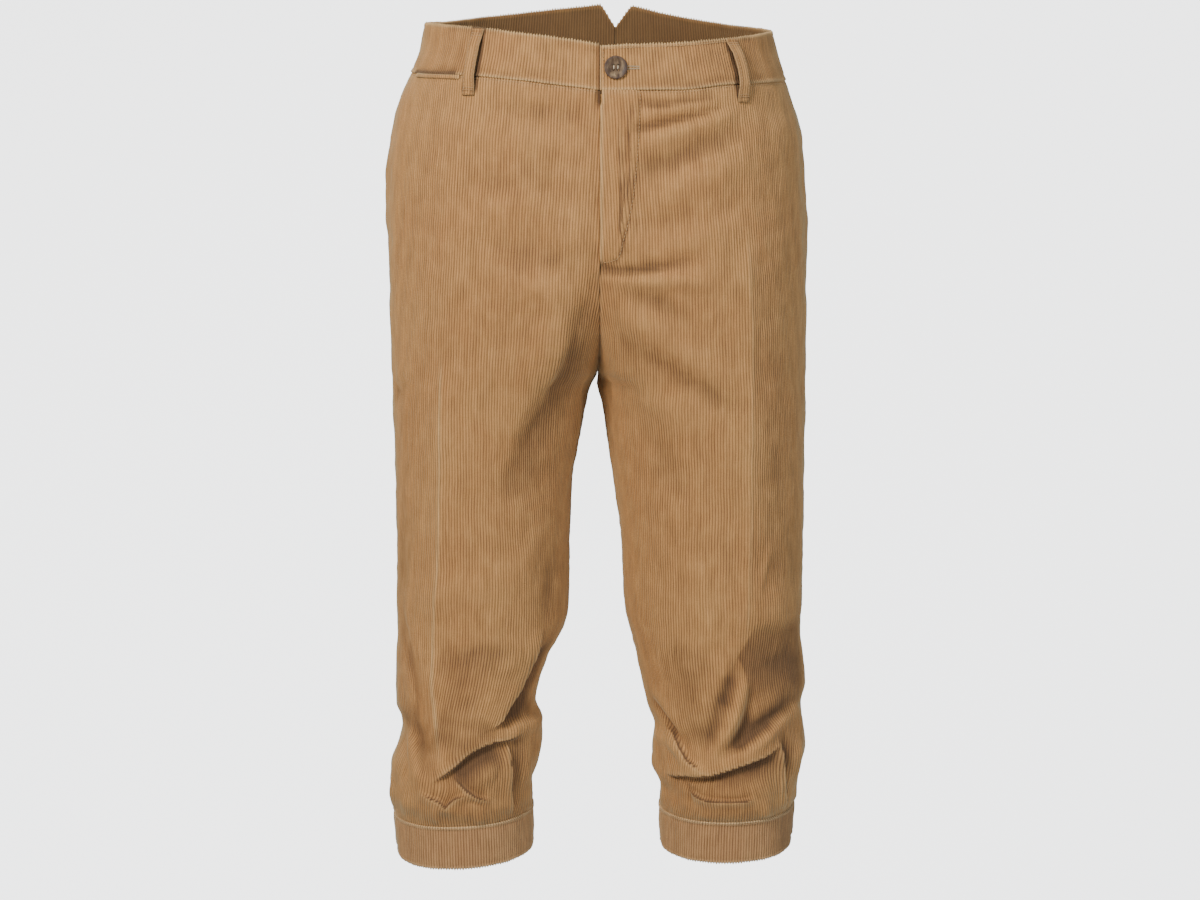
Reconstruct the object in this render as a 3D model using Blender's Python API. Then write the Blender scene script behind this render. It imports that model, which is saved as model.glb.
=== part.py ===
"""Knee breeches in corduroy, in worn form.  Lengths in the tables are millimetres.

Frame: x to the wearer's left, the front faces -y, z up; the origin is the centre of the
waist opening at the height of the front top edge.
"""
import bpy
import mathutils
import numpy as np

for old in list(bpy.data.objects):
    bpy.data.objects.remove(old, do_unlink=True)

# ---------------------------------------------------------------- driving sizes (mm)
WALL = 2.0              # one layer of corduroy
BAND_WALL = 2.6         # waistband and knee bands, folded double and pressed
BAND_PROUD = 0.4        # bands stand this far out from the panels
SEAM = 0.3              # clearance between two pieces
FORK_Z = -290.0         # fork, where the four panels meet
FLY_WIDTH = 34.0
FLY_END_Z = -183.0
FLY_TURN_Z = -132.0     # the fly stitching starts to curve here
FLY_LIFT = 1.2
LAP = 32.0              # underlap of the waistband
SINK = 3.1              # depth of that underlap
NOTCH_WIDE = 17.0       # centre back notch, half width
NOTCH_Z = 14.0
LOOP_WIDE = 11.5
LOOP_GAP = 3.4
BUTTON_D = 19.4
BUTTON_IN = 13.2        # waist button, in from the edge of the left waistband
BUTTON_Z = -16.5
BUTTON_SIDES = 28
KNEE_BUTTON_D = 15.0
KNEE_LAP = 34.0         # overlap of each knee band
KNEE_LAP_AT = 12.0      # the lap starts this far behind the outseam
UNDERLAP_WALL = 1.6     # lighter cloth behind the fly
WELT_WALL = 1.2
LOOP_WALL = 2.0
WELT = (31.0, 96.0)     # ends of the coin pocket welt, from the grain line
RIGHT, LEFT = -1, 1
SAMPLES = 401           # points kept along each section
MM = 0.001

# outseam: height, x of the right leg, x of the left leg, y
OUTSEAM = [
    (45, -151, 147, 2), (0, -156, 153, 2), (-25, -166, 161, 2), (-48, -176, 168, 2),
    (-80, -183, 177, 1), (-120, -187, 179, 0), (-180, -187, 182, 0),
    (-250, -186, 183, 0), (-340, -184, 183, 0), (-440, -183, 183, 0),
    (-520, -183, 181, 0), (-570, -185, 186, 0), (-592, -185, 182, 0),
    (-609, -180, 185, 0), (-628, -183, 187, 0), (-647, -189, 182, 0),
    (-666, -191, 177, 0), (-690, -188, 176, 0), (-735, -185, 174, 0)]
# front: height, x of the grain line right and left, y of the foremost line, its share of that x
FRONT = [
    (45, -88, 84, -104, 0.5), (0, -90, 88, -113, 0.52), (-40, -92, 92, -120, 0.55),
    (-100, -96, 96, -126, 0.6), (-180, -100, 100, -127, 0.7), (-250, -103, 102, -119, 0.85),
    (-340, -105, 104, -106, 1), (-440, -106, 105, -95, 1), (-520, -108, 106, -86, 1),
    (-590, -120, 112, -82, 1), (-640, -124, 116, -84, 1), (-670, -126, 117, -80, 1),
    (-692, -125, 116, -67, 1), (-735, -124, 115, -64, 1)]
# back: height, x of the rearmost line right and left, y
BACK = [
    (45, -42, 60, 110), (0, -46, 64, 117), (-40, -54, 70, 124), (-100, -76, 86, 137),
    (-180, -92, 98, 145), (-250, -100, 103, 135), (-340, -106, 104, 113),
    (-440, -107, 106, 98), (-520, -109, 107, 88), (-590, -121, 113, 84),
    (-640, -124, 116, 86), (-670, -126, 117, 82), (-692, -125, 116, 69),
    (-735, -124, 115, 66)]
# rise: height, front x, front y, back x, back y, turn at the front, turn at the back (degrees)
RISE = [
    (45, 0, -106, 14, 111, 0, 0), (0, 0, -115, 14, 118, 0, 0), (-40, 0, -121, 13, 124, 0, 0),
    (-100, 0, -126, 11, 135, 2, 4), (-160, 0, -123, 7, 135, 10, 14),
    (-210, 0, -109, 4, 119, 30, 34), (-250, 0, -82, 1, 92, 58, 60),
    (-275, -1, -48, 0, 60, 78, 80), (-286, -2, -20, -1, 32, 88, 88),
    (-290, -2, 4, -2, 4, 90, 90)]
# inseam: height, x of the right leg, x of the left leg, y
INSEAM = [
    (-290, -2.15, -1.85, 4), (-300, -8, -2.5, 4), (-315, -12.5, 2, 3), (-350, -19, 7, 2),
    (-387, -25, 12.5, 1), (-424, -27, 18, 0), (-500, -29, 23, 0), (-520, -33, 27, 0),
    (-553, -50, 35, 0), (-590, -59, 43, 0), (-610, -53, 50, 0), (-628, -53, 48, 0),
    (-647, -58, 48, 0), (-666, -63, 56, 0), (-690, -61, 54, 0), (-735, -62, 57, 0)]
# waist: share of the way from centre front to centre back, seam right, top right, seam left, top left
WAIST = [
    (0.00, -35.0, 3.5, -35.0, 1.5), (0.07, -31.0, 8.0, -35.0, 3.0), (0.14, -27.0, 12.0, -35.0, 4.0),
    (0.25, -23.5, 17.0, -31.0, 7.0), (0.42, -23.5, 19.0, -30.5, 11.0), (0.60, -25.0, 19.0, -31.0, 13.0),
    (0.72, -27.0, 23.0, -32.0, 15.5), (0.87, -29.0, 30.0, -32.0, 24.5),
    (0.97, -30.0, 35.0, -32.0, 34.5), (1.00, -30.0, 38.0, -32.0, 37.5)]
# knee: side, seam height, lower edge height, rise of both per mm towards the left
KNEE = {RIGHT: (-690.0, -727.0, 0.05), LEFT: (-685.5, -721.5, 0.02)}

# folds: side, form, width, depth, points as (distance from the grain line, height)
FOLDS = [
    (RIGHT, "trough", 12, 1.6, [(7, -44), (-42, -54), (-88, -66)]),
    (RIGHT, "trough", 20, 1.4, [(41, -102), (-18, -109), (-73, -116)]),
    (RIGHT, "trough", 16, 1.6, [(4, -163), (-42, -174), (-90, -184)]),
    (RIGHT, "ridge", 14, 1.7, [(-8, -205), (-45, -201), (-86, -201)]),
    (RIGHT, "trough", 9, 1.2, [(-34, -226), (-76, -230)]),
    (RIGHT, "trough", 7, 1.6, [(-66, -222), (-98, -206)]),
    (RIGHT, "ridge", 11, 2.4, [(-98, -216), (-60, -268), (-14, -366)]),
    (RIGHT, "trough", 20, 7.0, [(-78, -278), (-62, -330), (-40, -388)]),
    (RIGHT, "ridge", 10, 2.5, [(-72, -268), (-100, -310), (-118, -352)]),
    (RIGHT, "ridge", 7, 1.8, [(34, -300), (38, -426), (40, -510), (27, -588), (15, -612)]),
    (RIGHT, "ridge", 17, 2.2, [(72, -488), (10, -472), (-42, -465)]),
    (RIGHT, "trough", 15, 1.8, [(88, -400), (96, -470), (84, -540)]),
    (RIGHT, "ridge", 17, 5.5, [(-54, -530), (-20, -576), (8, -614)]),
    (RIGHT, "trough", 14, 7.5, [(-70, -524), (-49, -566), (-30, -602)]),
    (RIGHT, "lap", 13, 8.0, [(-84, -602), (-50, -609), (-6, -619), (7, -632), (27, -651), (40, -654)]),
    (RIGHT, "ridge", 9, 3.4, [(64, -592), (48, -628), (32, -652)]),
    (RIGHT, "trough", 7, 3.0, [(38, -662), (12, -667), (-6, -660)]),
    (RIGHT, "ridge", 8, 3.0, [(6, -642), (-16, -658), (-34, -670)]),
    (RIGHT, "ridge", 6, 2.8, [(-44, -612), (-52, -684)]),
    (RIGHT, "trough", 7, 3.2, [(-57, -618), (-64, -684)]),
    (RIGHT, "lap", 12, 5.0, [(124, -590), (96, -600), (66, -606)]),
    (RIGHT, "trough", 10, 3.5, [(112, -640), (84, -634), (62, -642)]),
    (LEFT, "trough", 7, 3.0, [(-72, -68), (-17, -58), (18, -46)]),
    (LEFT, "ridge", 6, 1.6, [(-64, -57), (-18, -49)]),
    (LEFT, "trough", 18, 3.6, [(-66, -108), (-15, -84), (44, -48)]),
    (LEFT, "ridge", 16, 2.4, [(-70, -138), (-10, -122), (48, -98)]),
    (LEFT, "trough", 7, 3.2, [(-98, -184), (-60, -182), (-22, -176)]),
    (LEFT, "ridge", 9, 3.6, [(-94, -194), (-49, -196), (-4, -203)]),
    (LEFT, "trough", 9, 2.2, [(-90, -208), (-58, -220), (-30, -236)]),
    (LEFT, "ridge", 12, 2.6, [(-80, -224), (-40, -252), (0, -288)]),
    (LEFT, "trough", 10, 3.4, [(-108, -236), (-66, -258), (0, -298), (18, -320)]),
    (LEFT, "ridge", 12, 2.6, [(-106, -274), (-60, -298), (-20, -322)]),
    (LEFT, "ridge", 7, 1.8, [(27, -266), (29, -388), (28, -524)]),
    (LEFT, "trough", 15, 5.5, [(12, -500), (50, -524), (106, -556)]),
    (LEFT, "ridge", 16, 2.4, [(-30, -470), (-8, -520), (-34, -572)]),
    (LEFT, "trough", 10, 5.5, [(15, -530), (-6, -583), (-28, -636)]),
    (LEFT, "ridge", 9, 5.0, [(30, -546), (12, -592), (-16, -634)]),
    (LEFT, "trough", 10, 5.5, [(132, -588), (76, -594), (36, -604), (0, -627)]),
    (LEFT, "lap", 11, 7.0, [(84, -604), (52, -612), (9, -625), (-26, -641)]),
    (LEFT, "trough", 9, 4.2, [(-76, -580), (-50, -622)]),
    (LEFT, "lap", 9, 5.0, [(-78, -640), (-52, -646), (-24, -641)]),
    (LEFT, "ridge", 6, 2.8, [(-46, -666), (-11, -662), (20, -662)]),
    (LEFT, "trough", 6, 2.6, [(-40, -655), (-8, -651), (18, -652)]),
    (LEFT, "ridge", 6, 2.8, [(57, -604), (66, -680)]),
    (LEFT, "trough", 6, 3.0, [(70, -612), (78, -680)]),
    (RIGHT, "ridge", 12, 2.2, [(150, -84), (156, -128), (150, -166)]),
    (LEFT, "ridge", 12, 2.2, [(146, -88), (154, -150), (152, -206)]),
    (RIGHT, "trough", 18, 4.0, [(440, -262), (380, -306), (300, -330)]),
    (RIGHT, "ridge", 16, 3.0, [(430, -310), (370, -346), (290, -372)]),
    (RIGHT, "trough", 15, 3.2, [(424, -352), (350, -388), (286, -396)]),
    (RIGHT, "trough", 22, 2.4, [(200, -110), (270, -150), (330, -160)]),
    (RIGHT, "ridge", 7, 1.8, [(270, -300), (268, -430), (262, -540)]),
    (RIGHT, "lap", 12, 6.5, [(176, -556), (230, -574), (292, -566)]),
    (RIGHT, "trough", 13, 4.5, [(340, -556), (290, -596), (236, -606)]),
    (RIGHT, "lap", 11, 6.5, [(330, -618), (268, -636), (204, -626)]),
    (RIGHT, "ridge", 12, 3.4, [(158, -610), (190, -650), (236, -660)]),
    (RIGHT, "trough", 9, 3.4, [(300, -650), (250, -668), (212, -664)]),
    (LEFT, "trough", 18, 3.6, [(430, -258), (372, -300), (296, -322)]),
    (LEFT, "ridge", 15, 3.0, [(420, -316), (350, -340), (280, -380)]),
    (LEFT, "trough", 16, 3.4, [(410, -364), (344, -392), (276, -388)]),
    (LEFT, "trough", 20, 2.6, [(210, -96), (262, -130), (322, -150)]),
    (LEFT, "ridge", 7, 1.8, [(264, -310), (266, -440), (262, -548)]),
    (LEFT, "lap", 12, 6.0, [(180, -570), (236, -588), (300, -574)]),
    (LEFT, "trough", 12, 4.5, [(150, -566), (210, -606), (258, -616)]),
    (LEFT, "lap", 11, 6.0, [(344, -606), (282, -630), (216, -634)]),
    (LEFT, "ridge", 11, 3.2, [(170, -622), (204, -650), (262, -664)]),
    (LEFT, "trough", 9, 3.4, [(320, -648), (268, -660), (226, -656)])]
# small gathers above the knee seam: side, distance from the grain line, top height, width, depth
GATHERS = [
    (RIGHT, -84, -650, 6, 2.4), (RIGHT, -18, -672, 5, 1.6), (RIGHT, 22, -668, 5, 1.8),
    (RIGHT, 58, -656, 7, 2.2), (RIGHT, 86, -646, 6, 2.6), (RIGHT, 128, -654, 7, 2.6),
    (RIGHT, 158, -662, 6, 2.2), (RIGHT, 196, -648, 7, 2.6), (RIGHT, 232, -660, 6, 2.2),
    (RIGHT, 268, -652, 7, 2.8), (RIGHT, 300, -664, 6, 2.0), (LEFT, -86, -652, 7, 2.4),
    (LEFT, -62, -668, 5, 2.0), (LEFT, -24, -674, 5, 1.6), (LEFT, 34, -660, 6, 2.2),
    (LEFT, 96, -650, 6, 2.6), (LEFT, 122, -662, 6, 2.2), (LEFT, 152, -648, 7, 2.6),
    (LEFT, 190, -660, 6, 2.2), (LEFT, 226, -650, 7, 2.8), (LEFT, 260, -664, 6, 2.2),
    (LEFT, 290, -654, 7, 2.4)]

# mesh rows of a panel, by height, between the waist seam and the knee seam
PANEL_ROWS = [
    -31, -48, -62, -84, -108, -134, -160, -180, -196, -216, -238, -260, -276, -286,
    -290, -302, -322, -352, -394, -436, -474, -508, -536, -558, -576, -590, -602,
    -612, -622, -632, -642, -652, -664, -677, -689]


# ---------------------------------------------------------------- form
def track(rows, column, z):
    """One table column read smoothly at heights z."""
    table = np.array(rows, float)
    if table[0, 0] > table[-1, 0]:
        table = table[::-1]
    x, y = table[:, 0], table[:, column]
    h = np.diff(x)
    d = np.diff(y) / h
    m = np.zeros(len(y))
    same = d[:-1] * d[1:] > 0
    m[1:-1][same] = 2 * d[:-1][same] * d[1:][same] / (d[:-1] + d[1:])[same]
    m[0], m[-1] = d[0], d[-1]
    z = np.clip(z, x[0], x[-1])
    i = np.clip(np.searchsorted(x, z) - 1, 0, len(h) - 1)
    t = (z - x[i]) / h[i]
    return ((2 * t**3 - 3 * t**2 + 1) * y[i] + (t**3 - 2 * t**2 + t) * h[i] * m[i]
            + (3 * t**2 - 2 * t**3) * y[i + 1] + (t**3 - t**2) * h[i] * m[i + 1])


def smooth(t):
    t = np.clip(t, 0, 1)
    return t * t * (3 - 2 * t)


def pair(x, y):
    return np.stack([x, y], 1)


def bend(p0, v0, p1, v1, n):
    """Cubic curves from p0 to p1, one per height, n points each, the last left out."""
    t = np.linspace(0, 1, n, endpoint=False)[None, :, None]
    a, b = p0[:, None], (p0 + v0)[:, None]
    c, d = (p1 - v1)[:, None], p1[:, None]
    return (1 - t)**3 * a + 3 * t * (1 - t)**2 * b + 3 * t**2 * (1 - t) * c + t**3 * d


def sections(side, z, n=40):
    """Section lines of one half at heights z, and the distance along them from the grain line."""
    col = 1 if side < 0 else 2
    leg = z <= FORK_Z
    grain = track(FRONT, col, z)
    front = pair(grain * track(FRONT, 4, z), track(FRONT, 3, z))
    out = pair(track(OUTSEAM, col, z), track(OUTSEAM, 3, z))
    back = pair(track(BACK, col, z), track(BACK, 3, z))
    seam = pair(track(INSEAM, col, z), track(INSEAM, 3, z))
    turn_f, turn_b = [np.radians(np.where(leg, 90, track(RISE, c, z))) for c in (5, 6)]
    apart = 0.15 * side
    rise_f = pair(track(RISE, 1, z) + apart * np.sin(turn_f), track(RISE, 2, z))
    rise_b = pair(track(RISE, 3, z) + apart * np.sin(turn_b), track(RISE, 4, z))
    start = np.where(leg[:, None], seam, rise_f)
    end = np.where(leg[:, None], seam, rise_b)
    k, none = 0.58, 0 * z
    fx, fy = abs(front - start).T * k
    ox, oy = abs(front - out).T * k
    bx, by = abs(back - out).T * k
    ex, ey = abs(back - end).T * k
    go_f = fx * np.cos(turn_f) + fy * np.sin(turn_f)
    go_b = ex * np.cos(turn_b) + ey * np.sin(turn_b)
    line = np.concatenate([
        bend(start, pair(side * go_f * np.cos(turn_f), -go_f * np.sin(turn_f)),
             front, pair(side * fx, none), n),
        bend(front, pair(side * ox, none), out, pair(none, oy), n),
        bend(out, pair(none, by), back, pair(-side * bx, none), n),
        bend(back, pair(-side * ex, none), end,
             pair(-side * go_b * np.cos(turn_b), -go_b * np.sin(turn_b)), n),
        end[:, None]], 1)
    step = np.linalg.norm(np.diff(line, axis=1), axis=2)
    arc = np.concatenate([np.zeros((len(z), 1)), np.cumsum(step, 1)], 1)
    origin = [np.interp(abs(g), abs(x), d) for g, x, d in
              zip(grain, line[:, :2 * n, 0], arc[:, :2 * n])]
    return line, arc - np.array(origin)[:, None], n


class Half:
    """Smooth base surface of one half of the garment, read by distance a and height z."""

    def __init__(self, side):
        self.side = side
        self.z = np.arange(45.0, -738.0, -3.0)
        line, arc, n = sections(side, self.z)
        self.lo, self.hi, self.out = arc[:, 0], arc[:, -1], arc[:, 2 * n]
        f = np.linspace(0, 1, SAMPLES)
        grid = np.zeros((len(self.z), SAMPLES, 3))
        for k in range(len(self.z)):
            a = self.lo[k] + f * (self.hi[k] - self.lo[k])
            grid[k, :, 0] = np.interp(a, arc[k], line[k, :, 0])
            grid[k, :, 1] = np.interp(a, arc[k], line[k, :, 1])
        grid[:, :, 2] = self.z[:, None]
        along = np.gradient(grid, axis=1)
        down = np.gradient(grid, axis=0)
        normal = np.cross(along, down) * -side
        normal /= np.linalg.norm(normal, axis=2)[..., None]
        self.grid = np.concatenate([grid, normal], 2)

    def edge(self, which, z):
        return np.interp(-z, -self.z, getattr(self, which))

    def read(self, a, z):
        """Points and outward normals at distances a and heights z."""
        lo, hi = self.edge("lo", z), self.edge("hi", z)
        u = np.clip((a - lo) / (hi - lo), 0, 1) * (SAMPLES - 1)
        v = np.clip((self.z[0] - z) / 3.0, 0, len(self.z) - 1)
        i = np.minimum(v.astype(int), len(self.z) - 2)
        j = np.minimum(u.astype(int), SAMPLES - 2)
        p, q = (v - i)[..., None], (u - j)[..., None]
        g = self.grid
        out = ((1 - p) * ((1 - q) * g[i, j] + q * g[i, j + 1])
               + p * ((1 - q) * g[i + 1, j] + q * g[i + 1, j + 1]))
        return out[..., :3], out[..., 3:]


def soften(points, steps=5):
    """A smooth line through a few points."""
    p = np.array(points, float)
    p = np.concatenate([[2 * p[0] - p[1]], p, [2 * p[-1] - p[-2]]])
    t = np.linspace(0, 1, steps, endpoint=False)[:, None]
    out = [0.5 * (2 * b + (c - a) * t + (2 * a - 5 * b + 4 * c - d) * t**2
                  + (3 * b - a - 3 * c + d) * t**3)
           for a, b, c, d in zip(p[:-3], p[1:-2], p[2:-1], p[3:])]
    return np.concatenate(out + [p[-2:-1]])


def fold_height(form, width, depth, points, a, z):
    """Height of one fold over the base surface."""
    line = soften(points)
    best = np.full(a.shape, 1e9)
    where = np.zeros(a.shape)
    below = np.zeros(a.shape)
    for i in range(len(line) - 1):
        d = line[i + 1] - line[i]
        t = np.clip(((a - line[i, 0]) * d[0] + (z - line[i, 1]) * d[1]) / (d @ d), 0, 1)
        rx, rz = a - line[i, 0] - t * d[0], z - line[i, 1] - t * d[1]
        far = np.hypot(rx, rz)
        near = far < best
        best = np.where(near, far, best)
        where = np.where(near, (i + t) / (len(line) - 1), where)
        below = np.where(near, -rz, below)
    taper = np.sin(np.pi * np.clip(where, 0.02, 0.98)) ** 0.7
    bell = np.exp(-(best / width) ** 2)
    if form == "lap":
        s = np.clip(below / (0.32 * width), -6, 6)
        return depth * taper * bell * (1.25 / (1 + np.exp(s)) - 0.55)
    return depth * taper * bell * (1 if form == "ridge" else -1)


def relief(half, a, z):
    """Height of all folds of one half over its base surface."""
    total = np.zeros(a.shape)
    girth = np.where(z <= FORK_Z, half.edge("hi", z) - half.edge("lo", z), 1e5)
    rows = [(s, form, w, d, pts) for s, form, w, d, pts in FOLDS]
    rows += [(s, "ridge", w, d, [(at, top), (at, -700)]) for s, at, top, w, d in GATHERS]
    for s, form, width, depth, points in rows:
        if s != half.side:
            continue
        lowest = min(p[1] for p in points) - 3 * width
        highest = max(p[1] for p in points) + 3 * width
        live = (z > lowest) & (z < highest)
        if not live.any():
            continue
        for turn in (-1, 0, 1):
            total[live] += fold_height(form, width, depth, points,
                                       (a + turn * girth)[live], z[live])
    fade = smooth((-36 - z) / 14) * smooth((z + 692) / 7)
    return total * fade


HALF = {RIGHT: Half(RIGHT), LEFT: Half(LEFT)}


def waist_height(side, share, top):
    col = (1 if side < 0 else 3) + (1 if top else 0)
    return track(WAIST, col, share)


def knee_height(side, a, lower=False):
    """Height of the knee seam, or of the lower edge of the knee band."""
    seam, edge, lean = KNEE[side]
    base = edge if lower else seam
    p, _ = HALF[side].read(a, np.full(np.shape(a), base))
    level = base + lean * (p[..., 0] - side * 120)
    return level + (0.05 * p[..., 1] if lower else 0.0)


def fly_line(z):
    """Distance of the fly stitching from the centre front."""
    drop = np.clip((FLY_TURN_Z - z) / (FLY_TURN_Z - FLY_END_Z), 0, 1)
    return FLY_WIDTH * np.sqrt(1 - drop**2)


def fly_lift(side, e, z):
    """Height of the fly over the panels; e is the distance from the centre front."""
    if side == LEFT:
        return FLY_LIFT * smooth((fly_line(z) - e) / 4) * smooth((z - FLY_END_Z) / 6)
    return -0.6 * smooth((9 - e) / 8) * smooth((z - FLY_END_Z) / 10)


# ---------------------------------------------------------------- solids
def slab(name, outer, inner, colour, rough):
    """Closed solid between two grids of points (mm)."""
    rows, cols = outer.shape[:2]
    verts = np.concatenate([outer.reshape(-1, 3), inner.reshape(-1, 3)])
    at = lambda i, j: i * cols + j
    low = rows * cols
    faces = []
    for i in range(rows - 1):
        for j in range(cols - 1):
            q = [at(i, j), at(i + 1, j), at(i + 1, j + 1), at(i, j + 1)]
            faces.append(q)
            faces.append([low + v for v in reversed(q)])
    rim = ([at(0, j) for j in range(cols)] + [at(i, cols - 1) for i in range(1, rows)]
           + [at(rows - 1, j) for j in range(cols - 2, -1, -1)]
           + [at(i, 0) for i in range(rows - 2, 0, -1)])
    for v, w in zip(rim, rim[1:] + rim[:1]):
        faces.append([v, w, low + w, low + v])
    finish(name, new_mesh(name, verts, faces), colour, rough)


def new_mesh(name, verts, faces):
    """Mesh from points in millimetres, its faces turned outwards."""
    mesh = bpy.data.meshes.new(name)
    mesh.from_pydata((np.array(verts) * MM).tolist(), [], faces)
    mesh.update()
    if signed_volume(mesh) < 0:
        mesh.flip_normals()
    return mesh


def signed_volume(mesh):
    total = 0.0
    for p in mesh.polygons:
        v = [np.array(mesh.vertices[i].co) for i in p.vertices]
        for k in range(1, len(v) - 1):
            total += v[0] @ np.cross(v[k], v[k + 1])
    return total


def finish(name, mesh, colour, rough):
    mat = bpy.data.materials.new(name)
    mat.use_nodes = True
    shader = mat.node_tree.nodes["Principled BSDF"]
    shader.inputs["Base Color"].default_value = (*colour, 1)
    shader.inputs["Roughness"].default_value = rough
    mesh.materials.append(mat)
    mesh.shade_smooth()
    obj = bpy.data.objects.new(name, mesh)
    bpy.context.scene.collection.objects.link(obj)
    return obj


CORD = (0.46, 0.27, 0.11)
BAND = (0.44, 0.26, 0.11)
HORN = (0.11, 0.07, 0.05)


def panel(name, side, part, cols):
    """A leg panel from the waist seam to the knee seam."""
    half = HALF[side]
    share = np.linspace(0, 1, cols)
    base = np.array(PANEL_ROWS, float)
    a, z = np.zeros((len(base), cols)), np.zeros((len(base), cols))
    for _ in range(3):
        row_z = z if z.any() else np.repeat(base[:, None], cols, 1)
        lo, out, hi = [half.edge(w, row_z) for w in ("lo", "out", "hi")]
        start, end = (lo, out) if part == "front" else (out, hi)
        a = start + SEAM / 2 + share * (end - start - SEAM)
        top = waist_height(side, (a - lo) / (hi - lo), False) - SEAM / 2
        low = knee_height(side, a) + SEAM / 2
        z = (base[:, None] + (top - base[0]) * smooth((base[:, None] + 90) / 59)
             + (low - base[-1]) * smooth((-640 - base[:, None]) / 49))
    lift = relief(half, a, z)
    if part == "front":
        lift = lift + fly_lift(side, a - lo, z)
    p, n = half.read(a, z)
    outer = p + n * lift[..., None]
    slab(name, outer, outer - n * WALL, CORD, 0.9)


def waist_grid(side, e, rows):
    """Distances and heights of a waistband, from its seam to its top edge."""
    half = HALF[side]
    z0 = np.full(e.shape, -10.0)
    lo, hi = half.edge("lo", z0), half.edge("hi", z0)
    share = e / (hi - lo)
    low = waist_height(side, share, False) + SEAM / 2
    top = waist_height(side, share, True)
    left_over = hi - lo - e
    top = np.minimum(top, NOTCH_Z + left_over * (34.5 - NOTCH_Z) / NOTCH_WIDE)
    f = np.linspace(0, 1, rows)[:, None]
    z = low + f * (top - low)
    lo_z, hi_z = half.edge("lo", z), half.edge("hi", z)
    a = lo_z + SEAM / 2 + e / (hi - lo) * (hi_z - lo_z - SEAM)
    return a, z


def waistband(name, side, cols, rows):
    half = HALF[side]
    girth = float(half.edge("hi", np.array(-10.0)) - half.edge("lo", np.array(-10.0)))
    tail = [girth - d for d in (NOTCH_WIDE + 8, NOTCH_WIDE, NOTCH_WIDE * 0.5, 0)]
    if side == LEFT:
        e = np.concatenate([np.linspace(0, girth - 40, cols), tail])
        a, z = waist_grid(side, e, rows)
        p, n = half.read(a, z)
        outer = p + n * BAND_PROUD
    else:
        e = np.concatenate([[1.5, 4, 7, 10], np.linspace(20, girth - 40, cols - 3), tail])
        a, z = waist_grid(side, e, rows)
        p, n = half.read(a, z)
        drop = SINK * smooth((10 - e) / 8.5)
        outer = p + n * (BAND_PROUD - drop)[None, :, None]
        under = np.array([LAP, 22, 12, 4])
        a2, z2 = waist_grid(LEFT, under, rows)
        z2 = z2[:1] + (z2 - z2[:1]) * 0.985
        p2, n2 = HALF[LEFT].read(a2, z2)
        outer = np.concatenate([p2 + n2 * (BAND_PROUD - SINK), outer], 1)
        n = np.concatenate([n2, n], 1)
    slab(name, outer, outer - n * BAND_WALL, BAND, 0.9)


def knee_band(name, side, cols, rows):
    """Band round the knee; its end laps over its start at the outer back."""
    half = HALF[side]
    seam, edge, _ = KNEE[side]
    mid = np.array((seam + edge) / 2)
    girth = float(half.edge("hi", mid) - half.edge("lo", mid))
    start = float(half.edge("out", mid)) + KNEE_LAP_AT
    end = girth + np.array([-8, -3, 2, 12, 23, KNEE_LAP])
    e = np.concatenate([np.linspace(0, girth - 14, cols), end])
    rise = (BAND_WALL + SEAM) * smooth((e - girth + 9) / 9)
    a = start + e
    hi = float(half.edge("hi", mid))
    a = np.where(a > hi, a - girth, a)
    f = np.linspace(0, 1, rows)[:, None]
    low = knee_height(side, a, True)
    top = knee_height(side, a) - SEAM / 2
    z = top + f * (low - top)
    aa = np.broadcast_to(a, z.shape)
    p, n = half.read(aa, z)
    outer = p + n * (BAND_PROUD + rise)[None, :, None]
    slab(name, outer, outer - n * BAND_WALL, BAND, 0.9)


def belt_loop(name, side, path):
    """A loop standing off the waistband; path gives share of the half girth and height."""
    half = HALF[side]
    line = soften(path, 4)
    t = np.linspace(0, 1, len(line))[:, None]
    z = line[:, 1:2] + np.zeros((1, 3))
    lo, hi = half.edge("lo", z), half.edge("hi", z)
    a = lo + line[:, :1] * (hi - lo) + np.array([-0.5, 0.0, 0.5])[None, :] * LOOP_WIDE
    stand = SEAM + LOOP_GAP * smooth(t / 0.3) * smooth((1 - t) / 0.3)
    stand = stand + BAND_PROUD * smooth((0.86 - t) / 0.12)
    p, n = half.read(a, z)
    inner = p + n * (stand + relief(half, a, z))[..., None]
    slab(name, inner + n * LOOP_WALL, inner, CORD, 0.9)


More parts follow.
